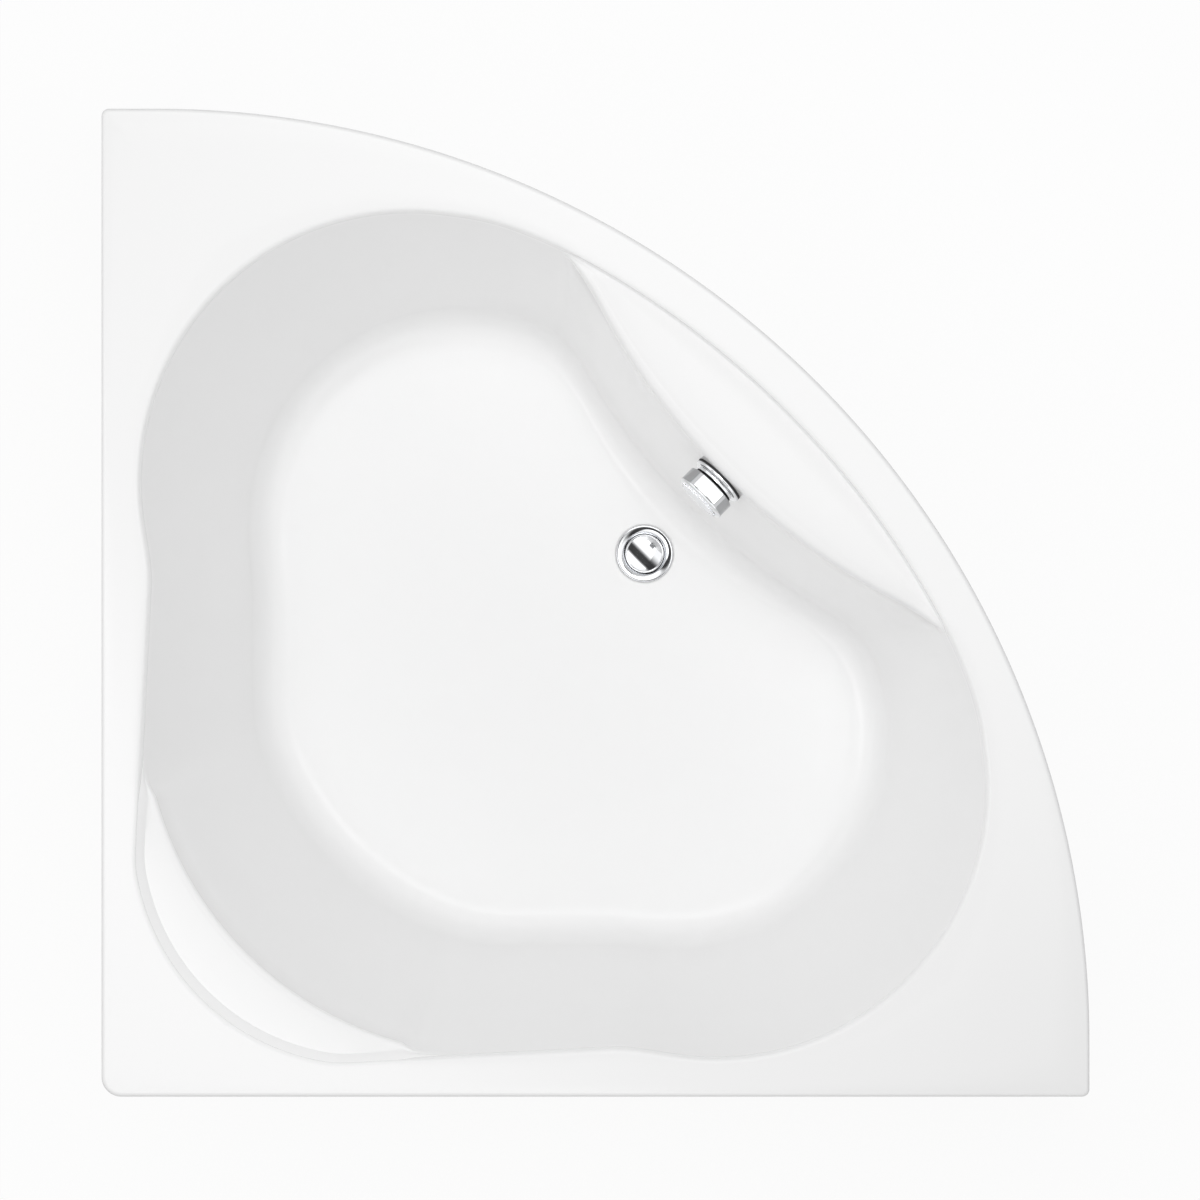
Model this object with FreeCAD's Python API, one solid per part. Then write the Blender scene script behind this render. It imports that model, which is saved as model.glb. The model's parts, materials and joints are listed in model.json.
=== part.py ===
import FreeCAD, Part
import math
import os

from FreeCAD import Placement, Rotation, Vector

# Corner bathtub, 1200 x 1200 mm, with its cradle, front panel, pop-up waste and turn-knob overflow.
#
# The finished part stands on z = 0, centred on the square round its rim. The room's corner is at the back
# left (-X, +Y), and the curved front faces +X, -Y. The bath is the same on both sides of the diagonal from
# the corner to the front, so most pieces are drawn in the diagonal frame: s runs along the diagonal towards
# the front, t across it, and the origin is the middle of the basin on the floor. Angles round the basin
# start at its front.

# ---- rim and shell -----------------------------------------------------------------------------------
SIDE = 1200.0                  # each wall side of the rim
END_STRAIGHT = 0.0571 * SIDE   # straight ends of the front edge, before its arc starts
REAR_CORNER_RADIUS = 24.0
END_CORNER_RADIUS = 9.0
RIM_HEIGHT = 540.0             # top of the rim over the floor, feet in the middle of their range
FLOOR_HEIGHT = 150.0           # floor of the basin over the room's floor, in its middle
SHELL_WALL = 6.0               # acrylic with its reinforced back
SHELL_FLOOR = 9.0              # the same under the middle of the floor
LIP_DEPTH = 32.0               # turned-down edge of the rim
RIM_EDGE_RADIUS = 5.0

# ---- outline of the basin at the rim, measured from the walls ----------------------------------------
BASIN_FROM_WALL = 0.45 * SIDE  # middle of the basin, from each wall
FRONT_DECK = 0.0425 * SIDE     # rim width at the front
LOBE_WALL_DECK = 0.038 * SIDE  # least rim width beside each lobe, on its wall side
LOBE_END_DECK = 0.1031 * SIDE  # and on its far side, towards the end of the rim
LOBE_RADIUS = 0.2745 * SIDE
SIDE_DECK = 0.0447 * SIDE      # rim width beside the middle of the basin
SIDE_LEAN = 2.9                # degrees by which the rim widens towards the front
REAR_DECK = 0.0325 * SIDE      # rim width where the rear corner's arc starts
REAR_RADIUS = 0.2313 * SIDE
FRONT_TO_LOBE = (42.0, 58.0)   # degrees between which the front arc passes over into a lobe
PINCH_BLEND = 14.0             # rounding where a lobe meets the side
SIDE_BLEND = 3.0               # rounding where the side meets the rear corner's arc

# ---- ledges ------------------------------------------------------------------------------------------
STEP_DEPTH = 16.0              # from the rim down to the ledges
STEP_RUN = 9.0                 # width of the step in plan
LEDGE_FALL = 2.0               # slope of a ledge towards the basin
FRONT_LEDGE = 0.0917 * SIDE    # rim to basin across the front ledge
FRONT_LEDGE_RADIUS = 0.7008 * SIDE  # inner edge of the front ledge, which bulges into the basin
REAR_LEDGE_FROM_WALL = 0.0433 * SIDE  # arc of the rear ledge's inner edge, where it would touch the walls
REAR_LEDGE_RADIUS = 0.3525 * SIDE
LEDGE_BLEND = 0.0333 * SIDE    # rounding where the front ledge runs out into a lobe
REAR_LEDGE_BLEND = 8.0
LEDGE_EDGE_RADIUS = 12.0

# ---- basin wall and floor ----------------------------------------------------------------------------
LOBE_WALL_RUN = 0.1272 * SIDE  # slope of the basin wall in plan, at a lobe's wall side
LOBE_END_RUN = 0.1136 * SIDE   # at its far side
FLOOR_LOBE_RADIUS = 0.2047 * SIDE
FLOOR_SIDE_FROM_WALL = 0.17 * SIDE
FLOOR_REAR_FROM_WALL = 0.1608 * SIDE
FLOOR_REAR_RADIUS = 0.2942 * SIDE
FRONT_WALL_RUN = 0.0567 * SIDE # at the front, below the overflow
FLOOR_FRONT_RADIUS = 0.6025 * SIDE
FLOOR_BLEND = 0.025 * SIDE
FLOOR_PINCH_BLEND = 5.0
FLOOR_SIDE_BLEND = 6.0
WALL_FOOT = 42.0               # height and width of the rounding between wall and floor
FLOOR_FALL = 0.012             # slope of the floor down to the front
FLOOR_EDGE_MARGIN = 8.0        # wall and floor meet this much outside the visible edge of the floor
OUTLINE_ANGLE_STEP = 5.0       # degrees between the points of an outline
PAST = 1.0                     # cutters run this far past the face they open
DOME_STEPS = 3                 # cones that make up a dome
STRAIGHT_WITHIN = 0.02         # an outline's stretch that bends less than this is a line

# ---- board, battens and cradle -----------------------------------------------------------------------
BOARD_THICKNESS = 18.0
BOARD_MARGIN = 44.0            # board to the edge of the floor
WASTE_CUTOUT_RADIUS = 62.0     # notch in the board, open to the front
BATTEN_WIDTH = 25.0
BATTEN_START = 95.0            # wall battens, from the corner of the walls
BATTEN_END_GAP = 95.0          # and to the end of the rim
FRONT_BATTEN_GAP = 6.5         # between lip and front batten, for the top of the panel
FRONT_BATTEN_WIDTH = 27.0
FRONT_BATTEN_ANGLE = 35.0      # half angle of the front batten about the centre of the front arc
RAIL_WIDTH = 40.0
RAIL_DEPTH = 28.0
RAIL_WALL = 2.0
RAIL_BEND_RADIUS = 4.0
RAIL_REAR_S = -0.125 * SIDE    # places of the two rails along the diagonal
RAIL_FRONT_S = 0.05 * SIDE
FOOT_REAR_T = 0.3333 * SIDE    # feet from the diagonal, on the rear rail
FOOT_FRONT_T = 0.3917 * SIDE   # and on the front rail
RAIL_OVERHANG = 32.0           # rail past the middle of its foot
RAIL_SCREW_RADIUS = 2.4
RAIL_SCREW_HEAD_RADIUS = 5.0
RAIL_SCREW_HEAD_HEIGHT = 2.6
RAIL_SCREW_LENGTH = 14.0
RAIL_SCREW_T = (0.075 * SIDE, 0.2083 * SIDE)

# ---- levelling feet ----------------------------------------------------------------------------------
STUD_RADIUS = 6.0
STUD_CLEAR = 0.06              # stud in the bore of its nuts
STUD_SOCKET_FLOOR = 4.0        # plastic under the stud's end
STUD_STAND = 26.0              # stud over the web of its rail
NUT_FLATS = 19.0
NUT_HEIGHT = 10.0
PAD_RADIUS = 26.0
PAD_HEIGHT = 16.0
PAD_RIM_HEIGHT = 5.0
PAD_NECK_RADIUS = 11.0
WEB_HOLE_RADIUS = 6.8
RIM_LEG_BACK = 42.7            # leg under the front rim, from the middle of the front batten
RIM_LEG_DROP = 68.0            # height of its bracket, below the lip
RIM_LEG_PLATE = 3.0
RIM_LEG_WIDTH = 60.0
RIM_LEG_SCREW_T = 18.0

# ---- wall brackets -----------------------------------------------------------------------------------
BRACKET_FROM_CORNER = (0.25 * SIDE, 0.75 * SIDE)
BRACKET_WIDTH = 40.0
BRACKET_DROP = 62.0
BRACKET_REACH = 34.0
BRACKET_PLATE = 2.5
BRACKET_HOLE_RADIUS = 3.0
BRACKET_HOLE_SPACING = 22.0
BRACKET_HOLE_DROP = 42.0       # holes below the top of the bracket
BRACKET_SCREW_RADIUS = 2.2
BRACKET_SCREW_HEAD_RADIUS = 4.5
BRACKET_SCREW_HEAD_HEIGHT = 2.2
BRACKET_SCREW_LENGTH = 16.0

# ---- front panel -------------------------------------------------------------------------------------
PANEL_THICKNESS = 3.0
PANEL_LIP_GAP = 0.3            # between the lip and the panel behind it
PANEL_FLOOR_GAP = 6.0
PANEL_TOP_GAP = 8.0            # below the underside of the rim
PANEL_FLANGE = 22.0            # returned edge along the floor
PANEL_END_GAP = 4.0            # to the walls
BLOCK_ANGLES = (-33.0, -12.0, 12.0, 33.0)
BLOCK_WIDTH = 70.0
BLOCK_DEPTH = 44.0
BLOCK_HEIGHT = 44.0
PANEL_SCREW_HEIGHT = 34.0
PANEL_SCREW_RADIUS = 2.2
PANEL_SCREW_LENGTH = 28.0
PANEL_SCREW_HEAD_RADIUS = 4.2
PANEL_SCREW_HEAD_HEIGHT = 1.6
PANEL_CAP_RADIUS = 7.0
PANEL_CAP_HEIGHT = 3.2

# ---- waste -------------------------------------------------------------------------------------------
WASTE_FROM_WALL = 0.55 * SIDE  # middle of the waste, from each wall
WASTE_SEAT_DEPTH = 2.0         # flat recess that the flange lies in
WASTE_SEAT_MARGIN = 1.5
WASTE_HOLE_RADIUS = 26.0
FLANGE_RADIUS = 35.0
FLANGE_EDGE = 1.2
FLANGE_CROWN = 3.4
FLANGE_SLOPE = 4.6             # width of its rounded edge
FLANGE_BULGE = 0.5
FLANGE_MOUTH_RADIUS = 26.5
MOUTH_EDGE_WIDTH = 1.2         # softened edge of the mouth
MOUTH_EDGE_DEPTH = 0.7
CONE_DEPTH = 4.1               # of the mouth, where the plug seals
COLLAR_RADIUS = 24.6
COLLAR_BORE_RADIUS = 21.5
COLLAR_LENGTH = 32.0
SPIDER_HEIGHT = 5.0
SPIDER_ARM = 3.4
SPIDER_HUB_RADIUS = 6.5
STEM_RADIUS = 3.0
STEM_CLEAR = 0.06
PLUG_RADIUS = 23.6
PLUG_THICKNESS = 3.0
PLUG_RISE = 3.4                # crown of the plug over its edge
PLUG_RIM = 1.6                 # raised rim round the crown
PLUG_RIM_EDGE = 0.6
PLUG_GROOVE = 0.7
PLUG_CHAMFER = 1.2
PLUG_SEAL_RADIUS = 24.0
PLUG_SEAL_HEIGHT = 3.3
SEAL_GAP = 0.5                 # plug seal to its cone, level, when shut
FLANGE_SEAL_HEIGHT = 0.8
BODY_SEAL_HEIGHT = 5.0
BODY_SEAL_RADIUS = 37.0
BODY_FLANGE_RADIUS = 38.0
BODY_FLANGE_HEIGHT = 4.0
CUP_RADIUS = 28.5
CUP_WALL = 2.5
CUP_DEPTH = 54.0               # from its flange to its underside
CUP_EDGE = 3.0                 # bevels of the cup
TAIL_RADIUS = 23.9             # 1 1/2 inch thread
TAIL_BORE_RADIUS = 19.0
TAIL_LENGTH = 30.0
INLET_RISE = 24.0              # middle of the hose inlet over the underside of the cup
INLET_RADIUS = 13.5
INLET_BORE_RADIUS = 10.5
INLET_END = 52.0               # from the middle of the waste

# ---- rocker under the plug's stem --------------------------------------------------------------------
ROCKER_ARM = 20.0              # axle to the middle of the stem
ROCKER_SWING = 30.0            # degrees, for the whole lift
ROCKER_WIDTH = 5.0
ROCKER_NOSE_RADIUS = 3.0
ROCKER_AXLE_RADIUS = 2.5
AXLE_CLEAR = 0.06
ROCKER_GAP = 0.4               # nose below the stem
HOUSING_INNER_T = 22.0         # lever housing, grown onto the cup's side
HOUSING_WALL = 2.0
LEVER_GAP = 1.5                # lever to the housing's walls
HOUSING_HALF = 21.0
HOUSING_RISE = 2.0             # housing over the underside of the cup
HOUSING_HEIGHT = 36.0
LEVER_LENGTH = 13.0
LEVER_THICKNESS = 5.0
LEVER_HUB_WALL = 2.0
WIRE_RADIUS = 1.5              # way of the cable's wire

# ---- overflow ----------------------------------------------------------------------------------------
OVERFLOW_DROP = 74.0           # middle of the rosette, below the rim
OVERFLOW_HOLE_RADIUS = 26.0
ROSETTE_RADIUS = 34.0
ROSETTE_THICKNESS = 5.0
ROSETTE_EDGE = 2.0
ROSETTE_SEAT = 2.0             # its back, let into the curved wall
ROSETTE_BULGE = 0.6
NECK_RADIUS = 27.3
NECK_LENGTH = 4.5
NECK_INLET_RADIUS = 4.0        # water holes round the neck's face
NECK_INLET_COUNT = 6
NECK_INLET_CIRCLE = 20.0
KNOB_RADIUS = 33.0
KNOB_START = 12.5              # back of the knob, from the basin wall
KNOB_DEPTH = 22.0
KNOB_LIP = 4.0                 # bevelled band round its face
KNOB_LIP_BEVEL = 1.6
KNOB_EDGE = 0.8
KNOB_HUB_WALL = 4.0
KNOB_CORE = 4.0                # metal behind the end of the spindle
KNOB_FACE_DISH = 2.0
KNOB_HOLLOW_RADIUS = 25.5
KNOB_HOLLOW_DEPTH = 8.0
KNOB_RECESS_WIDTH = 34.0       # flat thumb recess on the knob's upper side
KNOB_RECESS_LENGTH = 16.0
KNOB_RECESS_FLOOR = 28.5       # from the knob's axis
KNOB_RECESS_START = 1.2        # from the knob's back
POINTER_ROOT = 13.0            # tapered pointer in the recess
POINTER_TIP = 4.0
POINTER_HEIGHT = 1.2
POINTER_START = 2.0            # tip to the recess's end
GRUB_RADIUS = 2.0
GRUB_RISE = 2.2                # grub screw over the bottom of the knob's hollow
GRUB_DEPTH = 1.5               # its head below the knob's side
SPINDLE_RADIUS = 4.0
SPINDLE_CLEAR = 0.06
DRUM_RADIUS = 14.5
DRUM_THICKNESS = 8.0
DRUM_GROOVE = 2.0
DRUM_FLANGE = 2.0
DRUM_CLEAR = 1.5
GASKET_INNER_RADIUS = 26.5
GASKET_RADIUS = 35.0
GASKET_THICKNESS = 3.0
OVER_FLANGE_RADIUS = 36.0
OVER_FLANGE_HEIGHT = 3.5
OVER_CUP_RADIUS = 27.5
OVER_CUP_BORE = 24.5
OVER_CUP_DEPTH = 34.0
OVER_CUP_FLOOR = 3.0
OUTLET_RADIUS = 13.5
OUTLET_BORE_RADIUS = 10.5
OUTLET_LENGTH = 56.0           # below the middle of the cup
OVER_POST_RADIUS = 4.8
OVER_SCREW_RADIUS = 2.0
OVER_SCREW_CIRCLE = 20.0
OVER_SCREW_HEAD = 3.6
OVER_SCREW_HEAD_HEIGHT = 1.8
OVER_SCREW_END = -28.0         # its tip, from the face of the basin wall

# ---- hose and cable ----------------------------------------------------------------------------------
HOSE_RADIUS = 16.0
HOSE_BORE_RADIUS = 13.5
HOSE_LAP = 18.0                # hose over each stub
HOSE_BEND = 62.0
HOSE_NUT_RADIUS = 20.0
HOSE_NUT_LENGTH = 16.0
HOSE_NUT_SIDES = 8
CABLE_RADIUS = 3.0
CABLE_T = 33.0                 # cable beside the hose
CABLE_BEND = 58.0
CABLE_BOSS_RADIUS = 7.0
CABLE_BOSS_LENGTH = 12.0
CLIP_WIDTH = 10.0
CLIP_WALL = 1.6
CLIP_SHARES = (0.8, 0.35)      # places of the clips on the hose's straight run

# ---- what follows from these -------------------------------------------------------------------------
HALF = SIDE / 2
ROOT2 = math.sqrt(2.0)
LOBE_START_ANGLE = math.radians(20)    # the outlines' stretches follow each other near these angles
LOBE_END_ANGLE = math.radians(110)
REAR_LEDGE_ANGLE = math.radians(145)
REAR_START_ANGLE = math.radians(155)
FRONT_CENTRE_S = -(BASIN_FROM_WALL - END_STRAIGHT) * ROOT2
FRONT_RADIUS = SIDE - END_STRAIGHT
RIM_UNDERSIDE = RIM_HEIGHT - SHELL_WALL
LIP_BOTTOM = RIM_HEIGHT - LIP_DEPTH
LEDGE_HEIGHT = RIM_HEIGHT - STEP_DEPTH
FLOOR_UNDERSIDE = FLOOR_HEIGHT - SHELL_FLOOR
BOARD_BOTTOM = FLOOR_UNDERSIDE - BOARD_THICKNESS
RAIL_WEB_BOTTOM = BOARD_BOTTOM - RAIL_WALL
LEDGE_START_S = FRONT_CENTRE_S + FRONT_RADIUS - FRONT_DECK - FRONT_LEDGE
FLOOR_START_S = LEDGE_START_S - FRONT_WALL_RUN
WASTE_S = (WASTE_FROM_WALL - BASIN_FROM_WALL) * ROOT2
WASTE_SEAT = FLOOR_HEIGHT - FLOOR_FALL * WASTE_S - WASTE_SEAT_DEPTH
FRONT_BATTEN_OUTER = FRONT_RADIUS - SHELL_WALL - FRONT_BATTEN_GAP
RIM_LEG_TOP_S = FRONT_CENTRE_S + FRONT_BATTEN_OUTER - FRONT_BATTEN_WIDTH / 2
RIM_LEG_S = RIM_LEG_TOP_S - RIM_LEG_BACK
RIM_LEG_WEB_S = RIM_LEG_S + NUT_FLATS / 2 + 2 * RIM_LEG_PLATE + STUD_RADIUS
RIM_LEG_SEAT = LIP_BOTTOM - RIM_LEG_DROP
PANEL_OUTER = SHELL_WALL + PANEL_LIP_GAP
PANEL_INNER = PANEL_OUTER + PANEL_THICKNESS
PANEL_OUTER_RADIUS = FRONT_RADIUS - PANEL_OUTER
PANEL_INNER_RADIUS = FRONT_RADIUS - PANEL_INNER

FLANGE_SEAT = WASTE_SEAT + FLANGE_SEAL_HEIGHT
FLANGE_TOP = FLANGE_SEAT + FLANGE_CROWN
COLLAR_BOTTOM = FLANGE_SEAT - COLLAR_LENGTH
CONE_TOP = FLANGE_TOP - MOUTH_EDGE_DEPTH
CONE_SLOPE = (FLANGE_MOUTH_RADIUS - COLLAR_BORE_RADIUS) / CONE_DEPTH
SPIDER_TOP = COLLAR_BOTTOM + SPIDER_HEIGHT
PLUG_EDGE_Z = FLANGE_TOP - PLUG_THICKNESS / 2
BODY_TOP = FLOOR_UNDERSIDE - BODY_SEAL_HEIGHT
CUP_FLOOR = BODY_TOP - CUP_DEPTH
CUP_BORE_RADIUS = CUP_RADIUS - CUP_WALL
INLET_HEIGHT = CUP_FLOOR + INLET_RISE
HOUSING_LOW = CUP_FLOOR + HOUSING_RISE
HOUSING_HIGH = HOUSING_LOW + HOUSING_HEIGHT
HOUSING_OUTER_T = CABLE_T + ROCKER_WIDTH / 2 + LEVER_GAP + HOUSING_WALL
ROCKER_AXLE_Z = CUP_FLOOR + CUP_WALL + 0.65 * ROCKER_ARM
ROCKER_AXLE_S = WASTE_S - ROCKER_ARM * math.cos(math.radians(ROCKER_SWING / 2))
NOSE_Z = ROCKER_AXLE_Z - ROCKER_ARM * math.sin(math.radians(ROCKER_SWING / 2))
STEM_BOTTOM = NOSE_Z + ROCKER_NOSE_RADIUS + ROCKER_GAP
CABLE_END_Z = ROCKER_AXLE_Z + LEVER_LENGTH - 2 * WIRE_RADIUS

NECK_TOP = ROSETTE_THICKNESS + NECK_LENGTH
OVERFLOW_HEIGHT = RIM_HEIGHT - OVERFLOW_DROP
OVER_CUP_FRONT = -(SHELL_WALL + GASKET_THICKNESS)
OVER_CUP_BACK = OVER_CUP_FRONT - OVER_CUP_DEPTH
DRUM_BACK = OVER_CUP_BACK + OVER_CUP_FLOOR + DRUM_CLEAR
KNOB_HOLLOW_END = KNOB_START + KNOB_HOLLOW_DEPTH
SPINDLE_END = KNOB_HOLLOW_END + KNOB_CORE
GRUB_PLACE = KNOB_HOLLOW_END + GRUB_RISE

BASIN_MIDDLE = Vector(BASIN_FROM_WALL - HALF, HALF - BASIN_FROM_WALL, 0)
TO_WORLD = Placement(BASIN_MIDDLE, Rotation(Vector(0, 0, 1), -45))


# ---- small helpers -----------------------------------------------------------------------------------
def in_world(shape):
    """Moves a shape from the diagonal frame to its place in the bath."""
    placed = shape.copy()
    placed.transformShape(TO_WORLD.toMatrix())
    return placed


def cutter(radius, s, t, low, high):
    """Upright rod that runs past both ends, to bore a hole with."""
    return upright(radius, s, t, low - PAST, high + PAST)


def export(name, *solids):
    """Writes one node: a single solid, or a group of separate ones."""
    shape = solids[0] if len(solids) == 1 else Part.makeCompound(list(solids))
    shape.exportStep("parts/" + name + ".step")


def bored(shape, screws):
    """The shape with the hole that each screw has cut in it."""
    for one in screws:
        shape = shape.cut(one)
    return shape


def box(s_range, t_range, z_range):
    size = [b - a for a, b in (s_range, t_range, z_range)]
    return Part.makeBox(*size, Vector(s_range[0], t_range[0], z_range[0]))


def rod(radius, start, end):
    axis = end - start
    return Part.makeCylinder(radius, axis.Length, start, axis)


def upright(radius, s, t, low, high):
    return rod(radius, Vector(s, t, low), Vector(s, t, high))


def turned(outline):
    """Solid of revolution about Z from (radius, height) points."""
    corners = [Vector(r, 0, z) for r, z in outline]
    return Part.Face(Part.makePolygon(corners + corners[:1])).revolve(Vector(0, 0, 0), Vector(0, 0, 1), 360)


def bulged(start, end, bulge):
    """Points of an outline from start to end, which bulges to the right of its way."""
    length = math.dist(start, end)
    across, up = (end[0] - start[0]) / length, (end[1] - start[1]) / length
    middle = ((start[0] + end[0]) / 2 + up * bulge, (start[1] + end[1]) / 2 - across * bulge)
    return [start, middle, end]


def domed(radius, edge, rise):
    """Points of an outline up, or down, to the axis, which it meets squarely."""
    steps = DOME_STEPS
    return [(radius * (1 - i / steps), edge + rise * (1 - (1 - i / steps) ** 2)) for i in range(steps + 1)]


def prism(sides, across_flats, height, base):
    """Regular prism, as a nut is."""
    corner = across_flats / 2 / math.cos(math.pi / sides)
    turns = [2 * math.pi * i / sides for i in range(sides)]
    corners = [base + Vector(corner * math.cos(turn), corner * math.sin(turn), 0) for turn in turns]
    return Part.Face(Part.makePolygon(corners + corners[:1])).extrude(Vector(0, 0, height))


# ---- outlines of the basin, as radius against angle --------------------------------------------------
def smooth_min(a, b, blend):
    share = min(max(0.5 + 0.5 * (b - a) / blend, 0.0), 1.0)
    return b * (1 - share) + a * share - blend * share * (1 - share)


def smooth_max(a, b, blend):
    return -smooth_min(-a, -b, blend)


def smooth_step(value, low, high):
    share = min(max((value - low) / (high - low), 0.0), 1.0)
    return share * share * (3 - 2 * share)


def to_circle(angle, centre, radius, far=True):
    """Distance from the basin's middle to a circle along an angle; a large one where it misses."""
    along = centre[0] * math.cos(angle) + centre[1] * math.sin(angle)
    inside = radius ** 2 - centre[0] ** 2 - centre[1] ** 2 + along ** 2
    if inside < 0 or (not far and along < 0):
        return SIDE
    return along + math.sqrt(inside) if far else along - math.sqrt(inside)


def to_side(angle, from_wall, lean=0.0):
    """Distance to a line beside the wall that leans by so many degrees towards the front."""
    slope = math.tan(math.radians(lean))
    across = (math.sin(angle) - math.cos(angle)) / ROOT2
    forward = (math.sin(angle) + math.cos(angle)) / ROOT2
    return (BASIN_FROM_WALL - from_wall) / (across + slope * forward)


def lobe_centre(wall_deck, end_deck, radius):
    across = wall_deck + radius - BASIN_FROM_WALL
    along = SIDE - end_deck - radius - BASIN_FROM_WALL
    return ((across + along) / ROOT2, (along - across) / ROOT2)


def rear_centre(from_wall, radius):
    return ((from_wall + radius - BASIN_FROM_WALL) * ROOT2, 0.0)


def back_outline(angle, lobe, side, rear, pinch_blend, side_blend):
    """A lobe, then the side beside the wall, then the rear corner's arc."""
    if angle < LOBE_END_ANGLE:
        return lobe
    if angle < REAR_START_ANGLE:
        return smooth_max(lobe, side, pinch_blend)
    return smooth_min(side, rear, side_blend)


def rim_edge(angle):
    """Inner edge of the rim: front arc, lobes, leaning sides and rear corner."""
    front = to_circle(angle, (FRONT_CENTRE_S, 0.0), FRONT_RADIUS - FRONT_DECK)
    lobe = to_circle(angle, lobe_centre(LOBE_WALL_DECK, LOBE_END_DECK, LOBE_RADIUS), LOBE_RADIUS)
    low, high = (math.radians(a) for a in FRONT_TO_LOBE)
    if angle < math.pi / 2:
        share = smooth_step(angle, low, high)
        return front * (1 - share) + lobe * share
    side = to_side(angle, SIDE_DECK, SIDE_LEAN)
    rear = to_circle(angle, rear_centre(REAR_DECK, REAR_RADIUS), REAR_RADIUS)
    return back_outline(angle, lobe, side, rear, PINCH_BLEND, SIDE_BLEND)


def basin_edge(angle):
    """Top edge of the basin wall: the rim's edge, cut off by the two ledges."""
    edge = rim_edge(angle) - STEP_RUN - SHELL_WALL / 2
    front = to_circle(angle, (LEDGE_START_S + FRONT_LEDGE_RADIUS, 0.0), FRONT_LEDGE_RADIUS, far=False)
    rear = to_circle(angle, rear_centre(REAR_LEDGE_FROM_WALL, REAR_LEDGE_RADIUS), REAR_LEDGE_RADIUS)
    if angle < LOBE_END_ANGLE:
        return smooth_min(edge, front, LEDGE_BLEND)
    return smooth_min(edge, rear, REAR_LEDGE_BLEND) if angle > REAR_LEDGE_ANGLE else edge


def floor_edge(angle):
    """Visible edge of the basin's floor."""
    decks = (LOBE_WALL_DECK + LOBE_WALL_RUN, LOBE_END_DECK + LOBE_END_RUN)
    lobe = to_circle(angle, lobe_centre(*decks, FLOOR_LOBE_RADIUS), FLOOR_LOBE_RADIUS)
    front = to_circle(angle, (FLOOR_START_S + FLOOR_FRONT_RADIUS, 0.0), FLOOR_FRONT_RADIUS, far=False)
    if angle < LOBE_START_ANGLE:
        return front
    if angle < math.pi / 2:
        return smooth_min(lobe, front, FLOOR_BLEND)
    side = to_side(angle, FLOOR_SIDE_FROM_WALL)
    rear = to_circle(angle, rear_centre(FLOOR_REAR_FROM_WALL, FLOOR_REAR_RADIUS), FLOOR_REAR_RADIUS)
    return back_outline(angle, lobe, side, rear, FLOOR_PINCH_BLEND, FLOOR_SIDE_BLEND)


def floor_level(radius, angle):
    return FLOOR_HEIGHT - FLOOR_FALL * radius * math.cos(angle)


def wall_section(angle):
    """Inside of the shell along one angle, from the rim down to the floor, as (radius, height) points."""
    rim, basin = rim_edge(angle), basin_edge(angle)
    foot = floor_edge(angle) + FLOOR_EDGE_MARGIN
    corner = (foot, floor_level(foot, angle))
    ledge = rim - STEP_RUN
    round_off = min(LEDGE_EDGE_RADIUS, 0.8 * (ledge - basin))
    edge_low = LEDGE_HEIGHT - LEDGE_FALL - LEDGE_EDGE_RADIUS
    section = [
        (rim + SHELL_WALL, RIM_HEIGHT),
        (rim + 0.3 * SHELL_WALL, RIM_HEIGHT - 0.3 * SHELL_WALL),
        (rim, RIM_HEIGHT - SHELL_WALL),
        (rim - 0.65 * STEP_RUN, LEDGE_HEIGHT + 2.5),
        (ledge, LEDGE_HEIGHT),
        (basin + round_off, LEDGE_HEIGHT - LEDGE_FALL),
        (basin + 0.3 * round_off, LEDGE_HEIGHT - LEDGE_FALL - 0.3 * LEDGE_EDGE_RADIUS),
        (basin, edge_low),
    ]
    run, drop = corner[0] - basin, corner[1] - edge_low
    share = WALL_FOOT / math.hypot(run, drop)
    wall_end = (corner[0] - run * share, corner[1] - drop * share)
    floor_start = (foot - WALL_FOOT, floor_level(foot - WALL_FOOT, angle))
    for step in range(5):
        u = step / 4
        section.append(tuple(
            (1 - u) ** 2 * a + 2 * u * (1 - u) * b + u ** 2 * c
            for a, b, c in zip(wall_end, corner, floor_start)
        ))
    return section


def outer_section(angle):
    """The underside of the shell along one angle: the inside moved out by the shell's wall."""
    inner = wall_section(angle)
    kept = [inner[i] for i in (2, 4, 5, 7, 8, 10, 12)]
    moved = [(kept[0][0] + SHELL_WALL, RIM_UNDERSIDE)]
    for before, here, after in zip(kept, kept[1:], kept[2:]):
        ways = []
        for a, b in ((before, here), (here, after)):
            length = math.hypot(b[0] - a[0], b[1] - a[1])
            ways.append((-(b[1] - a[1]) / length, (b[0] - a[0]) / length))
        normal = (ways[0][0] + ways[1][0], ways[0][1] + ways[1][1])
        reach = SHELL_WALL * 2 / (normal[0] ** 2 + normal[1] ** 2)
        moved.append((here[0] + normal[0] * reach, here[1] + normal[1] * reach))
    moved.append((kept[-1][0], FLOOR_UNDERSIDE))
    return moved


def closed_curve(points):
    """Closed outline of arcs, each through three of the points; a line where they don't bend."""
    edges = []
    for i in range(0, len(points), 2):
        start, middle, end = points[i], points[i + 1], points[(i + 2) % len(points)]
        if middle.distanceToLine(start, end - start) < STRAIGHT_WITHIN:
            edges.append(Part.LineSegment(start, end).toShape())
        else:
            edges.append(Part.Arc(start, middle, end).toShape())
    return Part.Wire(edges)


def outline_angles():
    count = 2 * int(round(180 / OUTLINE_ANGLE_STEP))
    return [math.radians(360 * i / count) for i in range(count)]


def outline_points(radius_and_height):
    """Points right round the basin of a function that is the same on both sides of the diagonal."""
    points = []
    for angle in outline_angles():
        radius, height = radius_and_height(min(angle, 2 * math.pi - angle))
        points.append(Vector(radius * math.cos(angle), radius * math.sin(angle), height))
    return points


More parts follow.
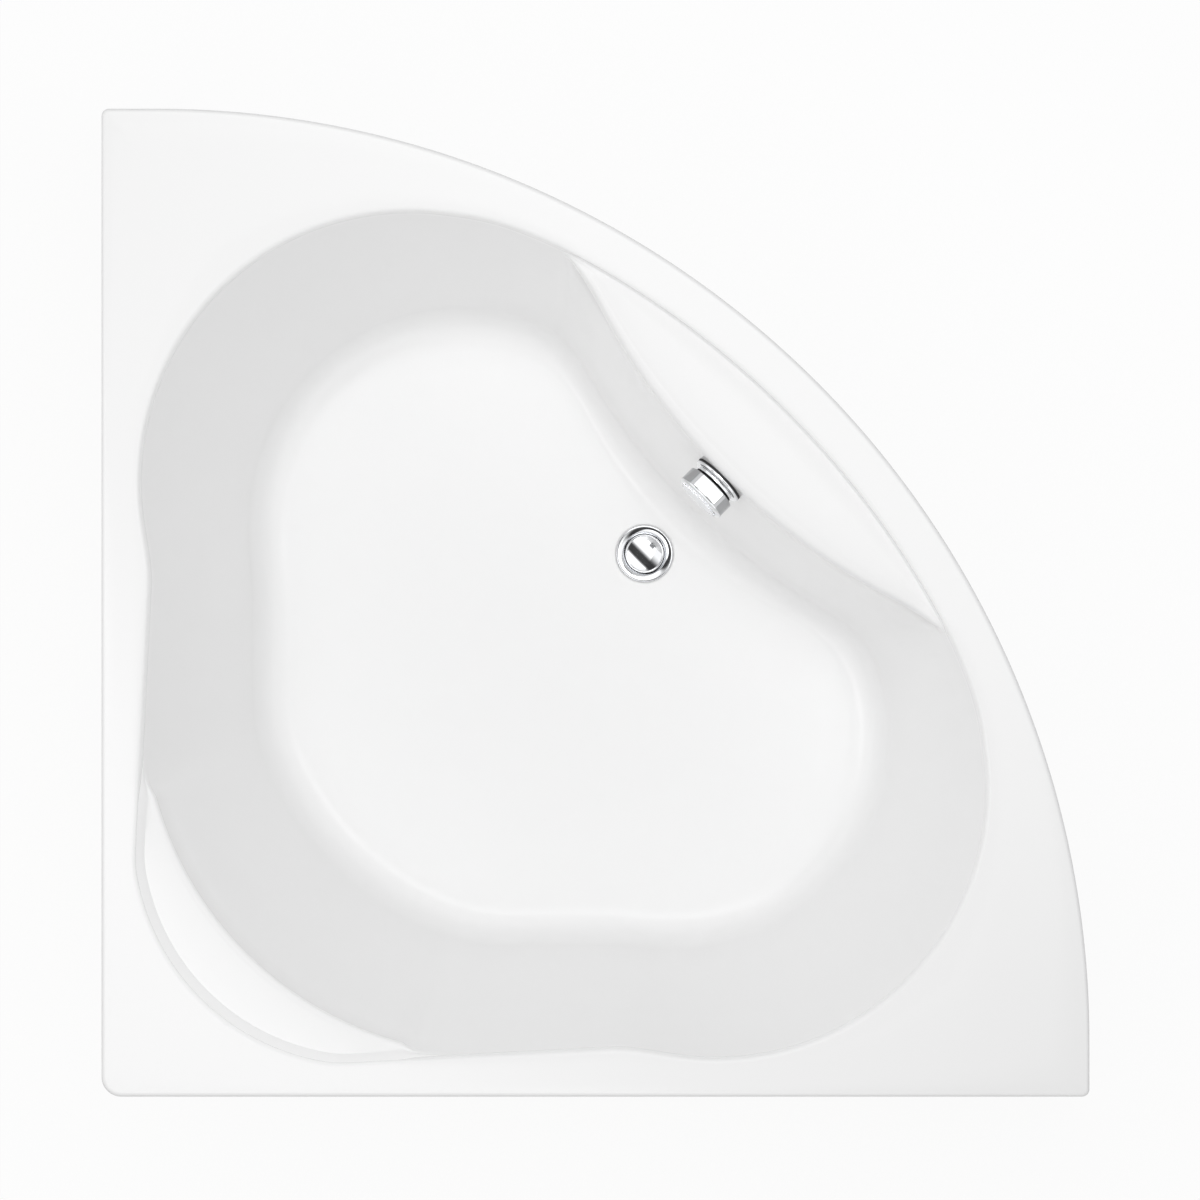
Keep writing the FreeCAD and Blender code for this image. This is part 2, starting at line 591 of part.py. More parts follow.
def skinned(section, top=None):
    """Solid between the outlines that the points of a section trace round the basin."""
    levels = len(section(0.0))
    wires = [
        closed_curve(outline_points(lambda angle, level=level: section(angle)[level]))
        for level in range(levels)
    ]
    if top is not None:
        wires.insert(0, closed_curve(outline_points(lambda angle: (section(angle)[0][0], top))))
    return Part.makeLoft(wires, True, True)


# ---- the rim's outline -------------------------------------------------------------------------------
def rim_outline(inset, height):
    """Outline of the rim, moved in by an inset: two walls, two short ends and the front arc."""
    low, high = -HALF + inset, HALF - inset
    bend = high - max(END_STRAIGHT - inset, 0.5)
    centre = Vector(-HALF + END_STRAIGHT, HALF - END_STRAIGHT, height)
    radius = FRONT_RADIUS - inset
    front_middle = centre + Vector(radius / ROOT2, -radius / ROOT2, 0)
    front_ends = Vector(high, centre.y, height), Vector(centre.x, low, height)
    front = Part.Arc(front_ends[0], front_middle, front_ends[1]).toShape()
    rear_round = max(REAR_CORNER_RADIUS - inset, 1.0)
    end_round = max(END_CORNER_RADIUS - inset, 1.0)

    def corner(x, y, x_way, y_way, round_off):
        middle = round_off * (1 - 1 / ROOT2)
        return Part.Arc(
            Vector(x + x_way * round_off, y, height),
            Vector(x + x_way * middle, y + y_way * middle, height),
            Vector(x, y + y_way * round_off, height),
        ).toShape()

    rear = corner(low, high, 1, -1, rear_round)
    end_back = corner(high, high, -1, -1, end_round)
    end_side = corner(low, low, 1, 1, end_round)

    def line(*ends):
        return Part.LineSegment(*(Vector(x, y, height) for x, y in ends)).toShape()

    edges = [
        line((low + rear_round, high), (high - end_round, high)), end_back,
        line((high, high - end_round), (high, centre.y)), front,
        line((centre.x, low), (low + end_round, low)), end_side,
        line((low, low + end_round), (low, high - rear_round)), rear,
    ]
    return Part.Wire(Part.__sortEdges__(edges))


def rim_plate(inset, low, high):
    return Part.Face(rim_outline(inset, low)).extrude(Vector(0, 0, high - low))


# ---- shell -------------------------------------------------------------------------------------------
def overflow_frame():
    """Place of the overflow: its middle on the basin wall, Z out of the wall, X up it."""
    section = wall_section(0.0)
    top, bottom = section[7], section[8]
    lean = math.atan2(top[0] - bottom[0], top[1] - bottom[1])
    reach = bottom[0] + (OVERFLOW_HEIGHT - bottom[1]) * math.tan(lean)
    turn = Rotation(Vector(0, 1, 0), -90 + math.degrees(lean))
    return Placement(Vector(reach, 0, OVERFLOW_HEIGHT), turn)


OVERFLOW = overflow_frame()
OVER_MIDDLE = OVERFLOW.multVec(Vector(0, 0, (OVER_CUP_BACK + OVER_CUP_FRONT) / 2))
CABLE_TOP = OVER_MIDDLE.z - OVER_CUP_RADIUS - CABLE_BOSS_LENGTH
HOSE_TOP = OVER_MIDDLE.z - OUTLET_LENGTH + HOSE_LAP


def at_overflow(shape):
    placed = shape.copy()
    placed.transformShape(OVERFLOW.toMatrix())
    return placed


def make_shell():
    rim = rim_plate(0.0, LIP_BOTTOM, RIM_HEIGHT)
    top_edges = [e for e in rim.Edges if e.BoundBox.ZMin > RIM_HEIGHT - 0.01]
    rim = rim.makeFillet(RIM_EDGE_RADIUS, top_edges)
    rim = rim.cut(rim_plate(SHELL_WALL, LIP_BOTTOM - 1, RIM_UNDERSIDE))
    basin = in_world(skinned(outer_section))
    hollow = in_world(skinned(wall_section, top=RIM_HEIGHT + SHELL_WALL))
    shell = rim.fuse(basin).cut(hollow)
    seat = upright(FLANGE_RADIUS + WASTE_SEAT_MARGIN, WASTE_S, 0, WASTE_SEAT, WASTE_SEAT + BODY_SEAL_RADIUS)
    hole = upright(WASTE_HOLE_RADIUS, WASTE_S, 0, BOARD_BOTTOM, FLOOR_HEIGHT)
    overflow_hole = at_overflow(upright(OVERFLOW_HOLE_RADIUS, 0, 0, -4 * SHELL_WALL, SHELL_WALL))
    return bored(shell, [in_world(one) for one in (seat, hole, overflow_hole)])


def make_baseboard():
    def edge(angle):
        return floor_edge(angle) - BOARD_MARGIN, BOARD_BOTTOM

    board = Part.Face(closed_curve(outline_points(edge))).extrude(Vector(0, 0, BOARD_THICKNESS))
    half = WASTE_CUTOUT_RADIUS
    notch = box((WASTE_S, WASTE_S + HALF), (-half, half), (BOARD_BOTTOM - PAST, FLOOR_UNDERSIDE + PAST))
    return board.cut(cutter(half, WASTE_S, 0, BOARD_BOTTOM, FLOOR_UNDERSIDE)).cut(notch)


# ---- battens -----------------------------------------------------------------------------------------
def wall_batten():
    """The batten along the back wall, in the world's frame."""
    outer = HALF - SHELL_WALL
    along = (-HALF + BATTEN_START, HALF - BATTEN_END_GAP)
    return box(along, (outer - BATTEN_WIDTH, outer), (LIP_BOTTOM, RIM_UNDERSIDE))


def mirrored(shape):
    """The same piece on the other side of the diagonal, in the world's frame."""
    return shape.mirror(Vector(0, 0, 0), Vector(1, 1, 0))


def front_ring(inner, outer, low, high, half_angle):
    """Part of a ring about the centre of the front arc."""
    base = Vector(FRONT_CENTRE_S, 0, low)
    ring = Part.makeCylinder(outer, high - low, base, Vector(0, 0, 1), 2 * half_angle)
    ring = ring.cut(Part.makeCylinder(inner, high - low, base, Vector(0, 0, 1), 360))
    return ring.rotated(base, Vector(0, 0, 1), -half_angle)


def front_batten():
    inner = FRONT_BATTEN_OUTER - FRONT_BATTEN_WIDTH
    return front_ring(inner, FRONT_BATTEN_OUTER, LIP_BOTTOM, RIM_UNDERSIDE, FRONT_BATTEN_ANGLE)


# ---- cradle ------------------------------------------------------------------------------------------
def rail(s, foot_t):
    """Steel channel with its web under the board and its sides down."""
    half, length = RAIL_WIDTH / 2, foot_t + RAIL_OVERHANG
    low, wall = BOARD_BOTTOM - RAIL_DEPTH, RAIL_WALL
    channel = box((s - half, s + half), (-length, length), (low, BOARD_BOTTOM))
    bends = [
        e for e in channel.Edges
        if e.BoundBox.ZMin > BOARD_BOTTOM - 0.01 and e.BoundBox.YLength > length
    ]
    channel = channel.makeFillet(RAIL_BEND_RADIUS, bends)
    inside = box((s - half + wall, s + half - wall), (-length, length), (low, BOARD_BOTTOM - wall))
    bends = [
        e for e in inside.Edges
        if e.BoundBox.ZMin > BOARD_BOTTOM - wall - 0.01 and e.BoundBox.YLength > length
    ]
    channel = channel.cut(inside.makeFillet(RAIL_BEND_RADIUS - wall, bends))
    for side in (-1, 1):
        channel = channel.cut(cutter(WEB_HOLE_RADIUS, s, side * foot_t, low, BOARD_BOTTOM))
        for t in RAIL_SCREW_T:
            channel = channel.cut(cutter(RAIL_SCREW_RADIUS, s, side * t, low, BOARD_BOTTOM))
    return channel


def screw(radius, length, head_radius, head_height, seat, way):
    """Plain screw: its head under the seat, its shank along the way."""
    head = Part.makeCone(head_radius * 0.7, head_radius, head_height, seat - way * head_height, way)
    return head.fuse(Part.makeCylinder(radius, length, seat, way))


def rail_screw(s, t, low=RAIL_WEB_BOTTOM):
    sizes = (RAIL_SCREW_RADIUS, RAIL_SCREW_LENGTH, RAIL_SCREW_HEAD_RADIUS, RAIL_SCREW_HEAD_HEIGHT)
    return screw(*sizes, Vector(s, t, low), Vector(0, 0, 1))


# ---- levelling feet ----------------------------------------------------------------------------------
FEET = {
    "foot_rear_left": (RAIL_REAR_S, -FOOT_REAR_T, BOARD_BOTTOM, RAIL_WALL),
    "foot_rear_right": (RAIL_REAR_S, FOOT_REAR_T, BOARD_BOTTOM, RAIL_WALL),
    "foot_front_left": (RAIL_FRONT_S, -FOOT_FRONT_T, BOARD_BOTTOM, RAIL_WALL),
    "foot_front_right": (RAIL_FRONT_S, FOOT_FRONT_T, BOARD_BOTTOM, RAIL_WALL),
    "rim_leg": (RIM_LEG_S, 0.0, RIM_LEG_SEAT + RIM_LEG_PLATE, RIM_LEG_PLATE),
}


def stud(s, t, seat):
    return upright(STUD_RADIUS, s, t, STUD_SOCKET_FLOOR, seat + STUD_STAND)


def pad(s, t):
    shape = turned([
        (0, 0),
        (PAD_RADIUS, 0),
        (PAD_RADIUS, PAD_RIM_HEIGHT),
        (PAD_NECK_RADIUS, PAD_HEIGHT),
        (0, PAD_HEIGHT),
    ])
    shape.translate(Vector(s, t, 0))
    return shape.cut(upright(STUD_RADIUS, s, t, STUD_SOCKET_FLOOR, PAD_HEIGHT + PAST))


def lock_nuts(s, t, seat, plate):
    nuts = []
    for low in (seat, seat - plate - NUT_HEIGHT):
        nut = prism(6, NUT_FLATS, NUT_HEIGHT, Vector(s, t, low))
        nuts.append(nut.cut(cutter(STUD_RADIUS + STUD_CLEAR, s, t, low, low + NUT_HEIGHT)))
    return nuts


def rim_leg_bracket():
    """Z bracket: top under the front batten, web down, foot with the hole for the leg's stud."""
    half, plate = RIM_LEG_WIDTH / 2, RIM_LEG_PLATE
    reach = RIM_LEG_TOP_S + FRONT_BATTEN_WIDTH / 2 - 2 * plate
    top = box((RIM_LEG_WEB_S - plate, reach), (-half, half), (LIP_BOTTOM - plate, LIP_BOTTOM))
    web = box((RIM_LEG_WEB_S - plate, RIM_LEG_WEB_S), (-half, half), (RIM_LEG_SEAT, LIP_BOTTOM))
    foot_start = 2 * RIM_LEG_S - RIM_LEG_WEB_S
    foot = box((foot_start, RIM_LEG_WEB_S), (-half, half), (RIM_LEG_SEAT, RIM_LEG_SEAT + plate))
    bracket = top.fuse(web).fuse(foot).removeSplitter()
    bracket = bracket.cut(cutter(WEB_HOLE_RADIUS, RIM_LEG_S, 0, RIM_LEG_SEAT, RIM_LEG_SEAT + plate))
    for side in (-1, 1):
        place = (RIM_LEG_TOP_S, side * RIM_LEG_SCREW_T)
        bracket = bracket.cut(cutter(RAIL_SCREW_RADIUS, *place, LIP_BOTTOM - plate, LIP_BOTTOM))
    return bracket


def rim_leg_screw(side):
    return rail_screw(RIM_LEG_TOP_S, side * RIM_LEG_SCREW_T, LIP_BOTTOM - RIM_LEG_PLATE)


# ---- wall brackets, in the world's frame, on the back wall -------------------------------------------
def bracket_screw_places(from_corner):
    x, y = from_corner - HALF, HALF - SHELL_WALL - BATTEN_WIDTH / 2
    return [(x + side * BRACKET_HOLE_SPACING / 2, y) for side in (-1, 1)]


def wall_bracket(from_corner):
    half, plate = BRACKET_WIDTH / 2, BRACKET_PLATE
    x = from_corner - HALF
    low = LIP_BOTTOM - BRACKET_DROP
    upright_leg = box((x - half, x + half), (HALF - plate, HALF), (low, LIP_BOTTOM))
    flat_leg = box((x - half, x + half), (HALF - BRACKET_REACH, HALF), (LIP_BOTTOM - plate, LIP_BOTTOM))
    bracket = upright_leg.fuse(flat_leg).removeSplitter()
    drop = LIP_BOTTOM - BRACKET_HOLE_DROP
    for side in (-1, 1):
        start = Vector(x + side * BRACKET_HOLE_SPACING / 2, HALF - 2 * plate, drop)
        bracket = bracket.cut(rod(BRACKET_HOLE_RADIUS, start, start + Vector(0, 2 * plate + PAST, 0)))
    for place in bracket_screw_places(from_corner):
        bracket = bracket.cut(cutter(BRACKET_SCREW_RADIUS, *place, LIP_BOTTOM - plate, LIP_BOTTOM))
    return bracket


def bracket_screws(from_corner):
    return [
        screw(
            BRACKET_SCREW_RADIUS, BRACKET_SCREW_LENGTH, BRACKET_SCREW_HEAD_RADIUS, BRACKET_SCREW_HEAD_HEIGHT,
            Vector(x, y, LIP_BOTTOM - BRACKET_PLATE), Vector(0, 0, 1),
        )
        for x, y in bracket_screw_places(from_corner)
    ]


# ---- front panel -------------------------------------------------------------------------------------
def front_panel():
    """Curved sheet behind the lip, with a returned edge along the floor and a mounting strip at each end."""
    top = RIM_UNDERSIDE - PANEL_TOP_GAP
    sheet = rim_plate(PANEL_OUTER, PANEL_FLOOR_GAP, top)
    sheet = sheet.cut(rim_plate(PANEL_INNER, PANEL_FLOOR_GAP + PANEL_THICKNESS, top + PAST))
    sheet = sheet.cut(rim_plate(PANEL_INNER + PANEL_FLANGE, PANEL_FLOOR_GAP - PAST, top + PAST))
    wall_side = HALF - PANEL_OUTER - PANEL_END_GAP
    strip = wall_side - PANEL_FLANGE
    beside_wall = box((-HALF, HALF), (strip, HALF), (0, top + PAST))
    strip_kept = box((strip, HALF), (strip, wall_side), (0, top + PAST))
    beside_wall = beside_wall.cut(strip_kept)
    return sheet.cut(beside_wall).cut(mirrored(beside_wall))


def on_front(angle, radius, height):
    """Point in the diagonal frame at an angle and radius about the centre of the front arc."""
    turn = math.radians(angle)
    return Vector(FRONT_CENTRE_S + radius * math.cos(turn), radius * math.sin(turn), height)


def panel_block(angle):
    outer = Part.makeCylinder(PANEL_INNER_RADIUS, BLOCK_HEIGHT, Vector(FRONT_CENTRE_S, 0, 0))
    reach = PANEL_INNER_RADIUS
    block = box((reach - BLOCK_DEPTH, reach), (-BLOCK_WIDTH / 2, BLOCK_WIDTH / 2), (0, BLOCK_HEIGHT))
    block.translate(Vector(FRONT_CENTRE_S, 0, 0))
    block = block.common(outer)
    flange = front_ring(
        reach - PANEL_FLANGE, reach + PAST, PANEL_FLOOR_GAP, PANEL_FLOOR_GAP + PANEL_THICKNESS, BLOCK_WIDTH
    )
    return block.cut(flange).rotated(Vector(FRONT_CENTRE_S, 0, 0), Vector(0, 0, 1), angle)


def panel_screw(angle):
    seat = on_front(angle, PANEL_OUTER_RADIUS, PANEL_SCREW_HEIGHT)
    way = (on_front(angle, 0, PANEL_SCREW_HEIGHT) - seat).normalize()
    return screw(
        PANEL_SCREW_RADIUS, PANEL_SCREW_LENGTH, PANEL_SCREW_HEAD_RADIUS, PANEL_SCREW_HEAD_HEIGHT, seat, way
    )


def panel_cap(angle):
    """Domed cap over a screw's head."""
    cap = turned([(0, 0), *domed(PANEL_CAP_RADIUS, 0, PANEL_CAP_HEIGHT)])
    seat = on_front(angle, PANEL_OUTER_RADIUS, PANEL_SCREW_HEIGHT)
    turn = Rotation(Vector(0, 0, 1), angle).multiply(Rotation(Vector(0, 1, 0), 90))
    cap.transformShape(Placement(seat, turn).toMatrix())
    panel = Part.makeCylinder(PANEL_OUTER_RADIUS, RIM_HEIGHT, Vector(FRONT_CENTRE_S, 0, 0))
    return cap.cut(panel).cut(panel_screw(angle))


# ---- waste -------------------------------------------------------------------------------------------
def at_waste(shape):
    placed = shape.copy()
    placed.translate(Vector(WASTE_S, 0, 0))
    return placed


def waste_flange():
    """Flange with a rounded crown and a conical mouth, its collar and the spider that guides the stem."""
    slope_foot = (FLANGE_RADIUS, FLANGE_SEAT + FLANGE_EDGE)
    slope_top = (FLANGE_RADIUS - FLANGE_SLOPE, FLANGE_TOP)
    shape = turned([
        (FLANGE_RADIUS, FLANGE_SEAT),
        *bulged(slope_foot, slope_top, FLANGE_BULGE),
        (FLANGE_MOUTH_RADIUS + MOUTH_EDGE_WIDTH, FLANGE_TOP),
        (FLANGE_MOUTH_RADIUS, CONE_TOP),
        (COLLAR_BORE_RADIUS, CONE_TOP - CONE_DEPTH),
        (COLLAR_BORE_RADIUS, COLLAR_BOTTOM),
        (COLLAR_RADIUS, COLLAR_BOTTOM),
        (COLLAR_RADIUS, FLANGE_SEAT),
    ])
    hub = upright(SPIDER_HUB_RADIUS, 0, 0, COLLAR_BOTTOM, SPIDER_TOP)
    reach = (COLLAR_BORE_RADIUS + COLLAR_RADIUS) / 2
    half = SPIDER_ARM / 2
    arm = box((-reach, reach), (-half, half), (COLLAR_BOTTOM, SPIDER_TOP))
    origin, axis = Vector(0, 0, 0), Vector(0, 0, 1)
    cross = hub.fuse([arm.rotated(origin, axis, turn) for turn in (45, 135)])
    cross = cross.cut(cutter(STEM_RADIUS + STEM_CLEAR, 0, 0, COLLAR_BOTTOM, SPIDER_TOP))
    return at_waste(shape.fuse(cross).removeSplitter())


def ring(outer, inner, low, high):
    return upright(outer, 0, 0, low, high).cut(cutter(inner, 0, 0, low, high))


def flange_seal():
    return at_waste(ring(FLANGE_RADIUS - 1, COLLAR_RADIUS, WASTE_SEAT, FLANGE_SEAT))


def body_seal():
    return at_waste(ring(BODY_SEAL_RADIUS, COLLAR_RADIUS, BODY_TOP, FLOOR_UNDERSIDE))


def waste_plug():
    """Domed cap with a raised rim and a short skirt."""
    low, high = PLUG_EDGE_Z, PLUG_EDGE_Z + PLUG_THICKNESS
    dome = PLUG_RADIUS - PLUG_RIM - PLUG_GROOVE
    return at_waste(turned([
        (0, low),
        (PLUG_RADIUS - PLUG_CHAMFER, low),
        (PLUG_RADIUS, low + PLUG_CHAMFER),
        (PLUG_RADIUS, high - PLUG_RIM_EDGE),
        (PLUG_RADIUS - PLUG_RIM_EDGE, high),
        (PLUG_RADIUS - PLUG_RIM, high),
        *domed(dome, high - PLUG_GROOVE, PLUG_RISE),
    ]))


def plug_seal():
    """Rubber ring under the plug, shaped to the cone of the flange's mouth."""
    high = PLUG_EDGE_Z
    low = high - PLUG_SEAL_HEIGHT
    foot = FLANGE_MOUTH_RADIUS - (CONE_TOP - low) * CONE_SLOPE - SEAL_GAP
    return at_waste(turned([
        (STEM_RADIUS, low),
        (foot, low),
        (PLUG_SEAL_RADIUS, low + (PLUG_SEAL_RADIUS - foot) / CONE_SLOPE),
        (PLUG_RADIUS - PLUG_CHAMFER, high),
        (STEM_RADIUS, high),
    ]))


def plug_stem():
    return upright(STEM_RADIUS, WASTE_S, 0, STEM_BOTTOM, PLUG_EDGE_Z)


def waste_body():
    """Flanged cup with its tail, the hose inlet and the housing of the lift lever."""
    neck = BODY_TOP - BODY_FLANGE_HEIGHT
    cup_inside = CUP_FLOOR + CUP_WALL
    bore, edge = CUP_BORE_RADIUS, CUP_EDGE
    body = at_waste(turned([
        (COLLAR_RADIUS, BODY_TOP),
        (BODY_FLANGE_RADIUS, BODY_TOP),
        (BODY_FLANGE_RADIUS, neck),
        (CUP_RADIUS, neck - edge),
        (CUP_RADIUS, CUP_FLOOR + edge),
        (CUP_RADIUS - edge, CUP_FLOOR),
        (TAIL_RADIUS, CUP_FLOOR),
        (TAIL_RADIUS, CUP_FLOOR - TAIL_LENGTH),
        (TAIL_BORE_RADIUS, CUP_FLOOR - TAIL_LENGTH),
        (TAIL_BORE_RADIUS, cup_inside),
        (bore - CUP_WALL, cup_inside),
        (bore, cup_inside + CUP_WALL),
        (bore, COLLAR_BOTTOM - CUP_WALL / 2),
        (COLLAR_RADIUS, COLLAR_BOTTOM),
    ]))
    keep_open = at_waste(turned([
        (0, CUP_FLOOR),
        (bore - CUP_WALL, cup_inside),
        (bore, cup_inside + CUP_WALL),
        (bore, COLLAR_BOTTOM - CUP_WALL / 2),
        (COLLAR_RADIUS, COLLAR_BOTTOM),
        (COLLAR_RADIUS, BODY_TOP),
        (0, BODY_TOP),
    ]))
    stub_end = Vector(WASTE_S + INLET_END, 0, INLET_HEIGHT)
    stub = rod(INLET_RADIUS, Vector(WASTE_S + bore, 0, INLET_HEIGHT), stub_end)
    stub_bore = rod(INLET_BORE_RADIUS, Vector(WASTE_S, 0, INLET_HEIGHT), stub_end + Vector(PAST, 0, 0))
    low, high = ROCKER_AXLE_S - HOUSING_HALF, ROCKER_AXLE_S + HOUSING_HALF
    housing = box((low, high), (HOUSING_INNER_T, HOUSING_OUTER_T), (HOUSING_LOW, HOUSING_HIGH))
    wall = HOUSING_WALL
    room = box(
        (low + wall, high - wall),
        (CABLE_T - ROCKER_WIDTH / 2 - LEVER_GAP, HOUSING_OUTER_T - wall),
        (HOUSING_LOW + wall, HOUSING_HIGH - wall),
    )
    axle = rod(
        ROCKER_AXLE_RADIUS + AXLE_CLEAR,
        Vector(ROCKER_AXLE_S, 0, ROCKER_AXLE_Z),
        Vector(ROCKER_AXLE_S, HOUSING_OUTER_T + PAST, ROCKER_AXLE_Z),
    )
    wire_start = Vector(ROCKER_AXLE_S, CABLE_T, CABLE_END_Z)
    wire = rod(WIRE_RADIUS, wire_start, wire_start + Vector(HOUSING_HALF + PAST, 0, 0))
    body = body.fuse([stub.cut(keep_open), housing.cut(keep_open)])
    return bored(body, [stub_bore, room, axle, wire]).removeSplitter()


def lift_rocker():
    """Axle with the finger under the stem and, in the housing, the lever that the cable pulls."""
    half = ROCKER_WIDTH / 2
    hub_radius = ROCKER_AXLE_RADIUS + LEVER_HUB_WALL
    start = Vector(ROCKER_AXLE_S, 0, ROCKER_AXLE_Z)
    nose = Vector(WASTE_S, 0, NOSE_Z)
    side = Vector(0, half, 0)
    far_end = HOUSING_OUTER_T - HOUSING_WALL / 10
    axle = rod(ROCKER_AXLE_RADIUS, start - 2 * side, Vector(start.x, far_end, start.z))
    finger = rod(ROCKER_NOSE_RADIUS, nose - side, nose + side)
    hub = rod(hub_radius, start - side, start + side)
    way = (nose - start).normalize()
    deep = Vector(-way.z, 0, way.x) * (0.8 * ROCKER_NOSE_RADIUS)
    strip = [p - side for p in (start + deep, nose + deep, nose - deep, start - deep)]
    arm = Part.Face(Part.makePolygon(strip + strip[:1])).extrude(2 * side)
    lever = box(
        (ROCKER_AXLE_S - LEVER_THICKNESS / 2, ROCKER_AXLE_S + LEVER_THICKNESS / 2),
        (CABLE_T - half, CABLE_T + half),
        (ROCKER_AXLE_Z, ROCKER_AXLE_Z + LEVER_LENGTH),
    )
    lever_middle = Vector(ROCKER_AXLE_S, CABLE_T, ROCKER_AXLE_Z)
    lever_hub = rod(hub_radius, lever_middle - side, lever_middle + side)
    return axle.fuse([finger, hub, arm, lever, lever_hub]).removeSplitter()


# ---- overflow, drawn about its own axis: Z out of the basin wall, X up it ----------------------------
def overflow_rosette(shell):
    """Rosette against the wall, with a neck whose face has the ring of water inlets."""
    slope_foot = (ROSETTE_RADIUS, ROSETTE_THICKNESS - ROSETTE_EDGE)
    slope_top = (ROSETTE_RADIUS - 2 * ROSETTE_EDGE, ROSETTE_THICKNESS)
    shape = turned([
        (0, -ROSETTE_SEAT),
        (ROSETTE_RADIUS, -ROSETTE_SEAT),
        *bulged(slope_foot, slope_top, ROSETTE_BULGE),
        (NECK_RADIUS, ROSETTE_THICKNESS),
        (NECK_RADIUS, NECK_TOP),
        (0, NECK_TOP),
    ])
    holes = [cutter(SPINDLE_RADIUS + SPINDLE_CLEAR, 0, 0, -ROSETTE_SEAT, NECK_TOP)]
    for i in range(NECK_INLET_COUNT):
        turn = 2 * math.pi * i / NECK_INLET_COUNT
        place = (NECK_INLET_CIRCLE * math.cos(turn), NECK_INLET_CIRCLE * math.sin(turn))
        holes.append(cutter(NECK_INLET_RADIUS, *place, -ROSETTE_SEAT, NECK_TOP))
    for side in (-1, 1):
        holes.append(cutter(OVER_SCREW_RADIUS, 0, side * OVER_SCREW_CIRCLE, -ROSETTE_SEAT, NECK_TOP))
    return at_overflow(bored(shape, holes)).cut(shell)


def overflow_knob():
    """Round knob, hollow at the back, with a dished face and a thumb recess that has a pointer."""
    back, face = KNOB_START, KNOB_START + KNOB_DEPTH
    hub = SPINDLE_RADIUS + KNOB_HUB_WALL
    dish = KNOB_RADIUS - 3 * KNOB_LIP_BEVEL - KNOB_EDGE
    shape = turned([
        (SPINDLE_RADIUS, back),
        (hub, back),
        (hub, KNOB_HOLLOW_END),
        (KNOB_HOLLOW_RADIUS, KNOB_HOLLOW_END),
        (KNOB_HOLLOW_RADIUS, back),
        (KNOB_RADIUS - KNOB_EDGE, back),
        (KNOB_RADIUS, back + KNOB_EDGE),
        (KNOB_RADIUS, face - KNOB_LIP),
        (KNOB_RADIUS - KNOB_EDGE, face - KNOB_LIP + KNOB_EDGE),
        (KNOB_RADIUS - KNOB_LIP_BEVEL, face - KNOB_EDGE),
        (KNOB_RADIUS - 2 * KNOB_LIP_BEVEL, face),
        *domed(dish, face, -KNOB_FACE_DISH),
        (0, SPINDLE_END),
        (SPINDLE_RADIUS, SPINDLE_END),
    ])
    start = back + KNOB_RECESS_START
    end = start + KNOB_RECESS_LENGTH
    floor, half = KNOB_RECESS_FLOOR, KNOB_RECESS_WIDTH / 2
    recess = box((floor, KNOB_RADIUS + PAST), (-half, half), (start, end))
    tip, root = POINTER_TIP / 2, POINTER_ROOT / 2
    tip_z = start + POINTER_START
    tongue = [Vector(floor, t, z) for t, z in ((-tip, tip_z), (tip, tip_z), (root, end), (-root, end))]
    pointer = Part.Face(Part.makePolygon(tongue + tongue[:1])).extrude(Vector(POINTER_HEIGHT, 0, 0))
    hole_start = Vector(-KNOB_RADIUS - PAST, 0, GRUB_PLACE)
    hole = rod(GRUB_RADIUS, hole_start, Vector(-SPINDLE_RADIUS, 0, GRUB_PLACE))
    return at_overflow(shape.cut(recess.cut(pointer)).cut(hole))


def knob_grub_screw():
    head = Vector(GRUB_DEPTH - KNOB_RADIUS, 0, GRUB_PLACE)
    return at_overflow(rod(GRUB_RADIUS, head, Vector(-SPINDLE_RADIUS, 0, GRUB_PLACE)))


def overflow_spindle():
    return at_overflow(upright(SPINDLE_RADIUS, 0, 0, DRUM_BACK, SPINDLE_END))


def cable_drum():
    low, high = DRUM_BACK, DRUM_BACK + DRUM_THICKNESS
    groove = DRUM_RADIUS - DRUM_GROOVE
    slope = 1.5 * DRUM_FLANGE
    return at_overflow(turned([
        (SPINDLE_RADIUS, low),
        (DRUM_RADIUS, low),
        (DRUM_RADIUS, low + DRUM_FLANGE),
        (groove, low + slope),
        (groove, high - slope),
        (DRUM_RADIUS, high - DRUM_FLANGE),
        (DRUM_RADIUS, high),
        (SPINDLE_RADIUS, high),
    ]))


def overflow_gasket(shell):
    washer = ring(GASKET_RADIUS, GASKET_INNER_RADIUS, OVER_CUP_FRONT, -SHELL_WALL / 2)
    return at_overflow(washer).cut(shell)


